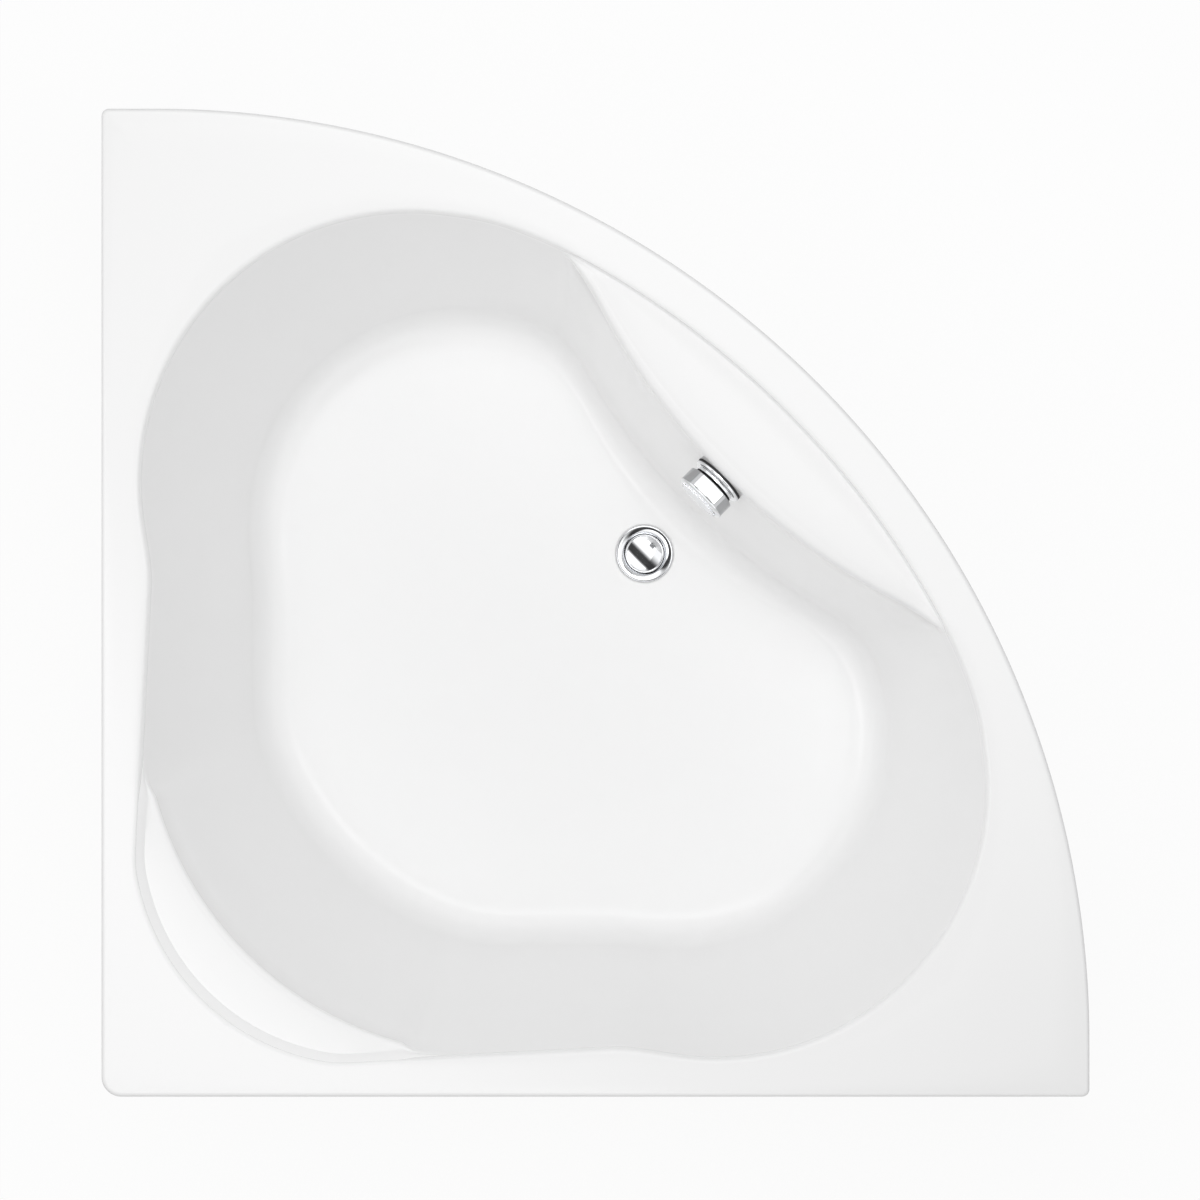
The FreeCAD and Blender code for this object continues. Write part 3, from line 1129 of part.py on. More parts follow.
def overflow_body():
    """Flanged cup behind the wall, with its outlet straight down and the boss of the cable sheath."""
    neck = OVER_CUP_FRONT - OVER_FLANGE_HEIGHT
    cup = upright(OVER_CUP_RADIUS, 0, 0, OVER_CUP_BACK, neck)
    flange = upright(OVER_FLANGE_RADIUS, 0, 0, neck, OVER_CUP_FRONT)
    room = upright(OVER_CUP_BORE, 0, 0, OVER_CUP_BACK + OVER_CUP_FLOOR, OVER_CUP_FRONT + PAST)
    middle = OVER_MIDDLE
    outlet_end = middle.z - OUTLET_LENGTH
    stub = upright(OUTLET_RADIUS, middle.x, 0, outlet_end, middle.z)
    bore = upright(OUTLET_BORE_RADIUS, middle.x, 0, outlet_end - PAST, middle.z)
    boss = upright(CABLE_BOSS_RADIUS, middle.x, CABLE_T, CABLE_TOP, middle.z)
    wire = upright(WIRE_RADIUS, middle.x, CABLE_T, CABLE_TOP - PAST, middle.z)
    body = at_overflow(cup.fuse(flange)).fuse([stub, boss])
    body = bored(body, [at_overflow(room), bore, wire])
    for side in (-1, 1):
        t = side * OVER_SCREW_CIRCLE
        post = upright(OVER_POST_RADIUS, 0, t, OVER_CUP_BACK + PAST, OVER_CUP_FRONT)
        core = upright(OVER_SCREW_RADIUS, 0, t, OVER_SCREW_END, OVER_CUP_FRONT + PAST)
        body = body.fuse(at_overflow(post)).cut(at_overflow(core))
    return body.removeSplitter()


def overflow_screw(side):
    """Screw through the face of the neck, hidden by the knob, into a post of the body behind the wall."""
    t = side * OVER_SCREW_CIRCLE
    head = upright(OVER_SCREW_HEAD, 0, t, NECK_TOP, NECK_TOP + OVER_SCREW_HEAD_HEIGHT)
    return at_overflow(head.fuse(upright(OVER_SCREW_RADIUS, 0, t, OVER_SCREW_END, NECK_TOP)))


# ---- hose and cable ----------------------------------------------------------------------------------
def bent_rod(radius, top, bend, end):
    """Round rod straight down from the top, round a quarter bend, then level to the end."""
    centre = Vector(top.x - bend, top.y, end.z + bend)
    corner = Vector(top.x, top.y, centre.z)
    low = Vector(centre.x, top.y, end.z)
    ring_face = Part.Face(Part.Wire(Part.makeCircle(radius, corner, Vector(0, 0, 1))))
    elbow = ring_face.revolve(centre, Vector(0, 1, 0), 90)
    return rod(radius, top, corner).fuse([elbow, rod(radius, low, end)]).removeSplitter()


HOSE_START = Vector(OVER_MIDDLE.x, 0, HOSE_TOP)
HOSE_END = Vector(WASTE_S + INLET_END - HOSE_LAP, 0, INLET_HEIGHT)


def overflow_hose():
    outside = bent_rod(HOSE_RADIUS, HOSE_START, HOSE_BEND, HOSE_END)
    return outside.cut(bent_rod(HOSE_BORE_RADIUS, HOSE_START, HOSE_BEND, HOSE_END))


def hose_nut(at_top):
    """Clamping nut round one end of the hose."""
    nut = prism(HOSE_NUT_SIDES, 2 * HOSE_NUT_RADIUS, HOSE_NUT_LENGTH, Vector(0, 0, 0))
    nut = nut.cut(cutter(HOSE_RADIUS, 0, 0, 0, HOSE_NUT_LENGTH))
    if at_top:
        nut.translate(HOSE_START - Vector(0, 0, HOSE_NUT_LENGTH))
        return nut
    nut.transformShape(Placement(HOSE_END, Rotation(Vector(0, 1, 0), 90)).toMatrix())
    return nut


def control_cable():
    """Sheath down beside the hose, round the bend and level into the lever housing."""
    top = Vector(OVER_MIDDLE.x, CABLE_T, CABLE_TOP)
    end = Vector(ROCKER_AXLE_S + HOUSING_HALF, CABLE_T, CABLE_END_Z)
    return bent_rod(CABLE_RADIUS, top, CABLE_BEND, end)


def cable_clip(share):
    """Band round the hose's straight run, at a share of its height, with an eye for the cable."""
    s, wall = OVER_MIDDLE.x, CLIP_WALL
    straight = INLET_HEIGHT + HOSE_BEND
    height = straight + share * (HOSE_TOP - straight)
    low, high = height - CLIP_WIDTH / 2, height + CLIP_WIDTH / 2
    band = upright(HOSE_RADIUS + wall, s, 0, low, high)
    eye = upright(CABLE_RADIUS + wall, s, CABLE_T, low, high)
    bridge = box((s - wall, s + wall), (HOSE_RADIUS, CABLE_T - CABLE_RADIUS), (low, high))
    clip = band.fuse([eye, bridge])
    return bored(clip, [cutter(HOSE_RADIUS, s, 0, low, high), cutter(CABLE_RADIUS, s, CABLE_T, low, high)])


# ---- the whole bath ----------------------------------------------------------------------------------
def main():
    os.makedirs("parts", exist_ok=True)
    shell = make_shell()
    plain_shell = shell.copy()
    plain_shell.transformShape(TO_WORLD.inverse().toMatrix())
    export("bath_shell", shell)
    rails = (RAIL_REAR_S, RAIL_FRONT_S)
    rail_screws = [rail_screw(s, side * t) for s in rails for t in RAIL_SCREW_T for side in (-1, 1)]
    leg_screws = [rim_leg_screw(side) for side in (-1, 1)]
    wall_screws = [one for place in BRACKET_FROM_CORNER for one in bracket_screws(place)]
    batten = bored(wall_batten(), wall_screws)
    export("baseboard", in_world(bored(make_baseboard(), rail_screws)))
    export("rim_batten_back", batten)
    export("rim_batten_side", mirrored(batten))
    export("rim_batten_front", in_world(bored(front_batten(), leg_screws)))
    export("cradle_rail_rear", in_world(rail(RAIL_REAR_S, FOOT_REAR_T)))
    export("cradle_rail_front", in_world(rail(RAIL_FRONT_S, FOOT_FRONT_T)))
    export("rail_screws", *[in_world(one) for one in rail_screws])

    nuts = []
    for name, (s, t, seat, plate) in FEET.items():
        export(name + "_stud", in_world(stud(s, t, seat)))
        export(name + "_pad", in_world(pad(s, t)))
        nuts += [in_world(nut) for nut in lock_nuts(s, t, seat, plate)]
    export("foot_lock_nuts", *nuts)
    export("rim_leg_bracket", in_world(rim_leg_bracket()))
    export("rim_leg_screws", *[in_world(one) for one in leg_screws])

    brackets = [wall_bracket(place) for place in BRACKET_FROM_CORNER]
    export("wall_brackets_back", *brackets)
    export("wall_brackets_side", *[mirrored(b) for b in brackets])
    export("wall_bracket_screws", *wall_screws, *[mirrored(one) for one in wall_screws])

    panel_screws = [panel_screw(angle) for angle in BLOCK_ANGLES]
    export("front_panel", bored(front_panel(), [in_world(one) for one in panel_screws]))
    blocks = [bored(panel_block(angle), [one]) for angle, one in zip(BLOCK_ANGLES, panel_screws)]
    export("panel_blocks", *[in_world(block) for block in blocks])
    export("panel_screws", *[in_world(one) for one in panel_screws])
    export("panel_screw_caps", *[in_world(panel_cap(a)) for a in BLOCK_ANGLES])

    export("waste_flange", in_world(waste_flange()))
    export("waste_flange_seal", in_world(flange_seal()))
    export("waste_body_seal", in_world(body_seal()))
    export("waste_body", in_world(waste_body()))
    export("waste_plug", in_world(waste_plug()))
    export("plug_seal", in_world(plug_seal()))
    export("plug_stem", in_world(plug_stem()))
    export("lift_rocker", in_world(lift_rocker()))

    export("overflow_rosette", in_world(overflow_rosette(plain_shell)))
    export("overflow_knob", in_world(overflow_knob()))
    export("knob_grub_screw", in_world(knob_grub_screw()))
    export("overflow_spindle", in_world(overflow_spindle()))
    export("cable_drum", in_world(cable_drum()))
    export("overflow_gasket", in_world(overflow_gasket(plain_shell)))
    export("overflow_screws", in_world(overflow_screw(-1)), in_world(overflow_screw(1)))
    export("overflow_body", in_world(overflow_body()))
    export("overflow_hose", in_world(overflow_hose()))
    export("hose_nut_top", in_world(hose_nut(True)))
    export("hose_nut_bottom", in_world(hose_nut(False)))
    export("control_cable", in_world(control_cable()))
    export("cable_clips", *[in_world(cable_clip(share)) for share in CLIP_SHARES])


main()
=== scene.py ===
"""Corner bathtub: the visible pieces, their finishes, and the studio they are shown in."""

import json
import math

import bpy
from mathutils import Matrix, Vector

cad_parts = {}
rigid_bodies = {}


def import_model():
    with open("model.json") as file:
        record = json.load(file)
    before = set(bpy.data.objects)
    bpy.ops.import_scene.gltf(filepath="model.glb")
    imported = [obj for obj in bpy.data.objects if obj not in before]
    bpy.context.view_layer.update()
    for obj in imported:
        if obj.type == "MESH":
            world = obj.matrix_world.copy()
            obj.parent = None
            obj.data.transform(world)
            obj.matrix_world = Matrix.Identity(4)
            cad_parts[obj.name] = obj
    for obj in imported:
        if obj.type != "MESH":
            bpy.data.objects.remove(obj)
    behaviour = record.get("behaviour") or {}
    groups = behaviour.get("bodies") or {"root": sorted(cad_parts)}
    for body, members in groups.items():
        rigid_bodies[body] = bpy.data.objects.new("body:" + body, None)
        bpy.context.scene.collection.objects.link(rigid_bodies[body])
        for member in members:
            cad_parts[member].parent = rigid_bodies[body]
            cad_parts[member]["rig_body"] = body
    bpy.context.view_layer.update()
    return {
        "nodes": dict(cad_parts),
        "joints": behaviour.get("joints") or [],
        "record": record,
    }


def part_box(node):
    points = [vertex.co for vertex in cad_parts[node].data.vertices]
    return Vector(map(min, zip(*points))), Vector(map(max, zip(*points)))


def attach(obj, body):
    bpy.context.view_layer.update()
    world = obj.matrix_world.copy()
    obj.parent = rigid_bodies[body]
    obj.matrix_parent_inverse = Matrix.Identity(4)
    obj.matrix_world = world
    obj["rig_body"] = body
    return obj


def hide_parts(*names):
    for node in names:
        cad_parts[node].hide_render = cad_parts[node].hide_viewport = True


bl_info = {
    "name": "Corner bathtub",
    "version": (1, 0, 0),
    "blender": (4, 5, 0),
    "location": "View3D > Sidebar > Bath",
    "description": "Builds a corner bathtub on its packed frame",
    "category": "Add Mesh",
}

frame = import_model()
NODES = frame["nodes"]
MM = 0.001


def node_size(node, axis):
    low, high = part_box(node)
    return high[axis] - low[axis]


def node_middle(node):
    low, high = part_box(node)
    return (Vector(low) + Vector(high)) / 2


def linear(hex_colour):
    """sRGB hex colour as linear red, green and blue."""
    parts = [int(hex_colour[i:i + 2], 16) / 255 for i in (0, 2, 4)]
    return tuple(p / 12.92 if p <= 0.04045 else ((p + 0.055) / 1.055) ** 2.4 for p in parts)


# ---- outlines of the bath, in millimetres, as the frame's own ---------------------------------------------
SIDE = 1000 * node_size("bath_shell", 0)
HALF = SIDE / 2
ROOT2 = math.sqrt(2)
END_STRAIGHT = 0.0571 * SIDE
REAR_CORNER = 24.0
END_CORNER = 9.0
BASIN_FROM_WALL = 0.45 * SIDE
FRONT_DECK = 0.0425 * SIDE
LOBE_WALL_DECK, LOBE_END_DECK, LOBE_RADIUS = 0.038 * SIDE, 0.1031 * SIDE, 0.2745 * SIDE
SIDE_DECK, SIDE_LEAN = 0.0447 * SIDE, 2.9
REAR_DECK, REAR_RADIUS = 0.0325 * SIDE, 0.2313 * SIDE
FRONT_TO_LOBE = (42.0, 58.0)
PINCH_BLEND, SIDE_BLEND = 14.0, 3.0
FRONT_LEDGE, FRONT_LEDGE_RADIUS = 0.0917 * SIDE, 0.7008 * SIDE
REAR_LEDGE_FROM_WALL, REAR_LEDGE_RADIUS = 0.0433 * SIDE, 0.3525 * SIDE
LEDGE_BLEND, REAR_LEDGE_BLEND = 0.0333 * SIDE, 8.0
LOBE_WALL_RUN, LOBE_END_RUN = 0.1272 * SIDE, 0.1136 * SIDE
FLOOR_LOBE_RADIUS = 0.2047 * SIDE
FLOOR_SIDE_FROM_WALL = 0.17 * SIDE
FLOOR_REAR_FROM_WALL, FLOOR_REAR_RADIUS = 0.1608 * SIDE, 0.2942 * SIDE
FRONT_WALL_RUN, FLOOR_FRONT_RADIUS = 0.0567 * SIDE, 0.6025 * SIDE
FLOOR_BLEND, FLOOR_PINCH_BLEND, FLOOR_SIDE_BLEND = 0.025 * SIDE, 12.0, 9.0
FLOOR_EDGE_MARGIN = 8.0
FRONT_CENTRE_S = -(BASIN_FROM_WALL - END_STRAIGHT) * ROOT2
FRONT_RADIUS = SIDE - END_STRAIGHT
LEDGE_START_S = FRONT_CENTRE_S + FRONT_RADIUS - FRONT_DECK - FRONT_LEDGE
FLOOR_START_S = LEDGE_START_S - FRONT_WALL_RUN
LOBE_START, LOBE_END = math.radians(20), math.radians(110)
REAR_LEDGE_START, REAR_START, FLOOR_REAR_START = (math.radians(a) for a in (145, 155, 139))
FLOOR_EASE = 7                  # degrees


def smooth_min(a, b, blend):
    """The smaller of two lengths, eased where they are alike."""
    share = min(max(0.5 + 0.5 * (b - a) / blend, 0.0), 1.0)
    return b * (1 - share) + a * share - blend * share * (1 - share)


def smooth_max(a, b, blend):
    """The larger of two lengths, eased where they are alike."""
    return -smooth_min(-a, -b, blend)


def smooth_step(value, low, high):
    """Grows smoothly from 0 at low to 1 at high."""
    share = min(max((value - low) / (high - low), 0.0), 1.0)
    return share * share * (3 - 2 * share)


def to_circle(angle, centre, radius, far=True):
    """How far a circle lies from the middle at an angle: its far side or its near one."""
    along = centre[0] * math.cos(angle) + centre[1] * math.sin(angle)
    inside = radius ** 2 - centre[0] ** 2 - centre[1] ** 2 + along ** 2
    if inside < 0 or (not far and along < 0):
        return SIDE
    return along + math.sqrt(inside) if far else along - math.sqrt(inside)


def to_side(angle, from_wall, lean=0.0):
    """How far a line along the wall, turned by a few degrees, lies from the middle at an angle."""
    across = (math.sin(angle) - math.cos(angle)) / ROOT2
    forward = (math.sin(angle) + math.cos(angle)) / ROOT2
    return (BASIN_FROM_WALL - from_wall) / (across + math.tan(math.radians(lean)) * forward)


def lobe_centre(wall_deck, end_deck, radius):
    """Centre, in the diagonal frame, of the circle that keeps clear of a wall and of the bath's end."""
    across = wall_deck + radius - BASIN_FROM_WALL
    along = SIDE - end_deck - radius - BASIN_FROM_WALL
    return ((across + along) / ROOT2, (along - across) / ROOT2)


def rear_centre(from_wall, radius):
    """Centre, on the diagonal, of the circle that keeps clear of both walls."""
    return ((from_wall + radius - BASIN_FROM_WALL) * ROOT2, 0.0)


def back_outline(angle, lobe, side, rear, rear_start, pinch_blend, side_blend):
    """The lobe, the side and the rear circle as one outline."""
    if angle < LOBE_END:
        return lobe
    if angle < rear_start:
        return smooth_max(lobe, side, pinch_blend)
    return smooth_min(side, rear, side_blend)


def rim_edge(angle):
    """Inner edge of the rim."""
    front = to_circle(angle, (FRONT_CENTRE_S, 0.0), FRONT_RADIUS - FRONT_DECK)
    lobe = to_circle(angle, lobe_centre(LOBE_WALL_DECK, LOBE_END_DECK, LOBE_RADIUS), LOBE_RADIUS)
    if angle < math.pi / 2:
        share = smooth_step(angle, *(math.radians(a) for a in FRONT_TO_LOBE))
        return front * (1 - share) + lobe * share
    side = to_side(angle, SIDE_DECK, SIDE_LEAN)
    rear = to_circle(angle, rear_centre(REAR_DECK, REAR_RADIUS), REAR_RADIUS)
    return back_outline(angle, lobe, side, rear, REAR_START, PINCH_BLEND, SIDE_BLEND)


def basin_edge(angle, step_run, wall):
    """Top edge of the basin wall: the rim's edge, cut off by the two ledges."""
    edge = rim_edge(angle) - step_run - wall / 2
    front = to_circle(angle, (LEDGE_START_S + FRONT_LEDGE_RADIUS, 0.0), FRONT_LEDGE_RADIUS, far=False)
    rear = to_circle(angle, rear_centre(REAR_LEDGE_FROM_WALL, REAR_LEDGE_RADIUS), REAR_LEDGE_RADIUS)
    if angle < LOBE_END:
        return smooth_min(edge, front, LEDGE_BLEND)
    return smooth_min(edge, rear, REAR_LEDGE_BLEND) if angle > REAR_LEDGE_START else edge


def floor_outline(angle):
    """Visible edge of the basin's floor, with the corners where its arcs meet."""
    decks = (LOBE_WALL_DECK + LOBE_WALL_RUN, LOBE_END_DECK + LOBE_END_RUN)
    lobe = to_circle(angle, lobe_centre(*decks, FLOOR_LOBE_RADIUS), FLOOR_LOBE_RADIUS)
    front = to_circle(angle, (FLOOR_START_S + FLOOR_FRONT_RADIUS, 0.0), FLOOR_FRONT_RADIUS, far=False)
    if angle < LOBE_START:
        return front
    if angle < math.pi / 2:
        return smooth_min(lobe, front, FLOOR_BLEND)
    side = to_side(angle, FLOOR_SIDE_FROM_WALL)
    rear = to_circle(angle, rear_centre(FLOOR_REAR_FROM_WALL, FLOOR_REAR_RADIUS), FLOOR_REAR_RADIUS)
    return back_outline(angle, lobe, side, rear, FLOOR_REAR_START, FLOOR_PINCH_BLEND, FLOOR_SIDE_BLEND)


def floor_edge(angle):
    """Visible edge of the basin's floor, its corners eased over a few degrees to each side."""
    total = 0.0
    for i in range(-FLOOR_EASE, FLOOR_EASE + 1):
        turned_by = abs(angle + math.radians(i))
        total += (FLOOR_EASE + 1 - abs(i)) * floor_outline(min(turned_by, 2 * math.pi - turned_by))
    return total / (FLOOR_EASE + 1) ** 2


def curve_through(start, pull, end, count):
    """Points of a rounding that leaves start and reaches end, both aimed at pull."""
    points = []
    for i in range(count + 1):
        u = i / count
        shares = (1 - u) ** 2, 2 * u * (1 - u), u * u
        points.append(tuple(sum(s * v for s, v in zip(shares, values)) for values in zip(start, pull, end)))
    return points


def blend(a, b, share):
    """The point at a share of the way from a to b."""
    return tuple(p + (q - p) * share for p, q in zip(a, b))


def world_point(s, t, z):
    """Millimetres in the diagonal frame to metres in the row frame."""
    x = BASIN_FROM_WALL - HALF + (s + t) / ROOT2
    y = HALF - BASIN_FROM_WALL + (t - s) / ROOT2
    return Vector((x * MM, y * MM, z * MM))


def rim_trace(spacing):
    """Points and outward normals right round the rim, in the diagonal frame, starting at the front's middle."""
    half = []
    centre = (FRONT_CENTRE_S, 0.0)
    swing = math.pi / 4
    steps = int(FRONT_RADIUS * swing / spacing)
    for i in range(steps + 1):
        turn = swing * i / steps
        way = (math.cos(turn), math.sin(turn))
        half.append(((centre[0] + FRONT_RADIUS * way[0], centre[1] + FRONT_RADIUS * way[1]), way))

    def in_diagonal(x, y):
        dx, dy = x - (BASIN_FROM_WALL - HALF), y - (HALF - BASIN_FROM_WALL)
        return ((dx - dy) / ROOT2, (dx + dy) / ROOT2)

    def run(start, end, way):
        length = math.dist(start, end)
        count = max(2, int(length / spacing))
        normal = ((way[0] - way[1]) / ROOT2, (way[0] + way[1]) / ROOT2)
        for i in range(1, count):
            half.append((in_diagonal(*blend(start, end, i / count)), normal))

    def corner(x, y, radius, first, count):
        for i in range(count + 1):
            turn = math.radians(first + 90 * i / count)
            way = (math.cos(turn), math.sin(turn))
            normal = ((way[0] - way[1]) / ROOT2, (way[0] + way[1]) / ROOT2)
            half.append((in_diagonal(x + radius * way[0], y + radius * way[1]), normal))

    run((HALF, HALF - END_STRAIGHT), (HALF, HALF - END_CORNER), (1, 0))
    corner(HALF - END_CORNER, HALF - END_CORNER, END_CORNER, 0, 8)
    run((HALF - END_CORNER, HALF), (-HALF + REAR_CORNER, HALF), (0, 1))
    corner_start, corner_steps = len(half), 12
    corner(-HALF + REAR_CORNER, HALF - REAR_CORNER, REAR_CORNER, 90, corner_steps)
    half = half[:corner_start + corner_steps // 2 + 1]
    other = [((p[0], -p[1]), (n[0], -n[1])) for p, n in reversed(half[1:-1])]
    return half + other


# ---- properties that a user would change ------------------------------------------------------------------
class BathShape(bpy.types.PropertyGroup):
    """Sizes of the shell."""
    rim_height: bpy.props.FloatProperty(
        name="Rim height", description="Top of the rim over the floor",
        default=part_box("bath_shell")[1][2], unit="LENGTH", subtype="DISTANCE",
    )
    basin_depth: bpy.props.FloatProperty(
        name="Basin depth", description="Rim to the floor of the basin, in its middle",
        default=0.390, unit="LENGTH",
    )
    wall: bpy.props.FloatProperty(
        name="Wall", description="Thickness of the shell", default=0.006, unit="LENGTH",
    )
    step: bpy.props.FloatProperty(
        name="Step", description="Height of the step from the rim to the ledges",
        default=0.016, unit="LENGTH",
    )
    foot: bpy.props.FloatProperty(
        name="Wall foot", description="Size of the rounding between wall and floor",
        default=0.042, unit="LENGTH",
    )
    floor_fall: bpy.props.FloatProperty(
        name="Floor fall", description="Slope of the floor towards the waste", default=0.012, min=0.0, max=0.1,
    )


class BathFinish(bpy.types.PropertyGroup):
    """Colours of what shows."""
    acrylic: bpy.props.FloatVectorProperty(
        name="Acrylic", description="Colour of the shell and the panel", subtype="COLOR", size=3,
        min=0.0, max=1.0, default=linear("F4F4F4"),
    )
    chrome: bpy.props.FloatVectorProperty(
        name="Chrome", description="Colour of the plated metal", subtype="COLOR", size=3,
        min=0.0, max=1.0, default=linear("E4E5E7"),
    )


class BathStage(bpy.types.PropertyGroup):
    """Light and camera."""
    overhead: bpy.props.FloatProperty(
        name="Overhead light", description="Power of the wide lamp over the bath",
        default=46.0, min=0.0, subtype="POWER",
    )
    sky: bpy.props.FloatProperty(
        name="Sky", description="Strength of the even light from all round", default=0.5, min=0.0,
    )
    distance: bpy.props.FloatProperty(
        name="Camera distance", description="Camera over the rim", default=60.0, min=1.0, unit="LENGTH",
    )


# ---- finishes ---------------------------------------------------------------------------------------------
def add_node(tree, kind, links=None, feeds=None, ends=(), **settings):
    """Adds a node with its settings, what feeds it, what its first output feeds, and a ramp's end colours."""
    made = tree.nodes.new(kind)
    for key, value in settings.items():
        if hasattr(made, key):
            setattr(made, key, value)
        else:
            made.inputs[key.replace("_", " ")].default_value = value
    for socket, source in (links or {}).items():
        tree.links.new(source, made.inputs[socket])
    if feeds:
        tree.links.new(made.outputs[0], feeds)
    for end, colour in zip(made.color_ramp.elements if ends else (), ends):
        end.color = (*linear(colour), 1)
    return made


def new_finish(name, colour, roughness, metallic=0.0, **more):
    """A material with its shader set; returns it with its node tree, the shader and the place on the piece."""
    material = bpy.data.materials.new(name)
    material.use_nodes = True
    tree = material.node_tree
    shader = tree.nodes["Principled BSDF"]
    shader.inputs["Base Color"].default_value = (*colour, 1.0)
    shader.inputs["Roughness"].default_value = roughness
    shader.inputs["Metallic"].default_value = metallic
    for key, value in more.items():
        shader.inputs[key.replace("_", " ")].default_value = value
    return material, tree, shader, add_node(tree, "ShaderNodeTexCoord").outputs["Object"]


def per_metre(millimetres):
    """Scale of a pattern whose grain measures that much."""
    return 1000 / millimetres


def cast_acrylic():
    """Cast acrylic sheet, drawn over a mould and polished: deep white gloss with a slight waviness."""
    material, tree, shader, place = new_finish(
        "polished cast acrylic", bpy.context.scene.bath_finish.acrylic, 0.2,
        IOR=1.49, Specular_IOR_Level=0.35, Coat_Weight=0.1, Coat_Roughness=0.06,
    )
    wave = add_node(tree, "ShaderNodeTexNoise", {"Vector": place}, Scale=per_metre(140), Detail=1.0)
    add_node(
        tree, "ShaderNodeBump", {"Height": wave.outputs["Fac"]}, shader.inputs["Normal"], Distance=0.6 * MM
    )
    return material


def glass_fibre():
    """Glass fibre rolled into resin on the back of the shell: pale and rough, with a net of darker strands."""
    material, tree, shader, place = new_finish("rolled glass-fibre resin", linear("D8D6CC"), 0.55)
    strands = add_node(
        tree, "ShaderNodeTexVoronoi", {"Vector": place}, feature="DISTANCE_TO_EDGE", Scale=per_metre(14)
    )
    ramp = add_node(
        tree, "ShaderNodeValToRGB", {"Fac": strands.outputs["Distance"]}, shader.inputs["Base Color"],
        ends=("CFCCC1", "DEDCD3"),
    )
    ramp.color_ramp.elements[1].position = 0.12
    lumps = add_node(tree, "ShaderNodeTexNoise", {"Vector": place}, Scale=per_metre(9), Detail=4.0)
    add_node(
        tree, "ShaderNodeBump", {"Height": lumps.outputs["Fac"]}, shader.inputs["Normal"], Distance=1.2 * MM
    )
    return material


def chrome_plate(name="polished chrome plate", shade=1.0):
    """Bright chromium over polished brass: a mirror with the faintest haze."""
    # A shade below 1 darkens the chrome as painted shade, for a shaded copy of it.
    colour = [shade * channel for channel in bpy.context.scene.bath_finish.chrome]
    material, tree, shader, place = new_finish(name, colour, 0.04, metallic=1.0)
    haze = add_node(tree, "ShaderNodeTexNoise", {"Vector": place}, Scale=per_metre(18), Detail=2.0)
    add_node(
        tree, "ShaderNodeMapRange", {"Value": haze.outputs["Fac"]}, shader.inputs["Roughness"],
        To_Min=0.03, To_Max=0.06,
    )
    return material


def moulded(name, colour, roughness, grain_mm, depth_mm):
    """Injection-moulded plastic with a fine spark-eroded grain."""
    material, tree, shader, place = new_finish(name, linear(colour), roughness, IOR=1.5)
    grain = add_node(tree, "ShaderNodeTexNoise", {"Vector": place}, Scale=per_metre(grain_mm), Detail=3.0)
    add_node(
        tree, "ShaderNodeBump", {"Height": grain.outputs["Fac"]}, shader.inputs["Normal"],
        Distance=depth_mm * MM,
    )
    return material


def moulded_rubber():
    """Moulded rubber: nearly black, dull, with a faint bloom."""
    material, tree, shader, place = new_finish("moulded rubber", linear("1C1C1D"), 0.6)
    bloom = add_node(tree, "ShaderNodeTexNoise", {"Vector": place}, Scale=per_metre(6), Detail=4.0)
    add_node(
        tree, "ShaderNodeValToRGB", {"Fac": bloom.outputs["Fac"]}, shader.inputs["Base Color"],
        ends=("171718", "262627"),
    )
    return material


def galvanised_sheet():
    """Hot-dip galvanised steel sheet: spangles of zinc about 10 mm wide, each of its own grey."""
    material, tree, shader, place = new_finish("galvanised steel sheet", linear("A9ADB0"), 0.42, metallic=0.9)
    spangle = add_node(tree, "ShaderNodeTexVoronoi", {"Vector": place}, Scale=per_metre(10))
    add_node(
        tree, "ShaderNodeValToRGB", {"Fac": spangle.outputs["Color"]}, shader.inputs["Base Color"],
        ends=("979B9F", "BCC0C3"),
    )
    add_node(
        tree, "ShaderNodeMapRange", {"Value": spangle.outputs["Color"]}, shader.inputs["Roughness"],
        To_Min=0.34, To_Max=0.5,
    )
    return material


def zinc_plate():
    """Bright zinc plating on fasteners: a cool, slightly cloudy shine."""
    material, tree, shader, place = new_finish("bright zinc plate", linear("C3C6CA"), 0.28, metallic=1.0)
    cloud = add_node(tree, "ShaderNodeTexNoise", {"Vector": place}, Scale=per_metre(4), Detail=2.0)
    add_node(
        tree, "ShaderNodeMapRange", {"Value": cloud.outputs["Fac"]}, shader.inputs["Roughness"],
        To_Min=0.2, To_Max=0.36,
    )
    return material


def turned_brass():
    """Turned brass: warm metal with fine tool marks."""
    material, tree, shader, place = new_finish("turned brass", linear("C9A766"), 0.3, metallic=1.0)
    marks = add_node(tree, "ShaderNodeTexNoise", {"Vector": place}, Scale=per_metre(0.8), Detail=2.0)
    add_node(
        tree, "ShaderNodeBump", {"Height": marks.outputs["Fac"]}, shader.inputs["Normal"], Distance=0.05 * MM
    )
    return material


def chipboard():
    """Raw chipboard: pressed flakes of 3 to 8 mm in several browns."""
    material, tree, shader, place = new_finish("raw chipboard", linear("B08D61"), 0.8)
    flakes = add_node(tree, "ShaderNodeTexVoronoi", {"Vector": place}, Scale=per_metre(6), Randomness=1.0)
    add_node(
        tree, "ShaderNodeValToRGB", {"Fac": flakes.outputs["Color"]}, shader.inputs["Base Color"],
        ends=("9A774D", "C6A578"),
    )
    add_node(
        tree, "ShaderNodeBump", {"Height": flakes.outputs["Distance"]}, shader.inputs["Normal"],
        Distance=0.3 * MM,
    )
    return material


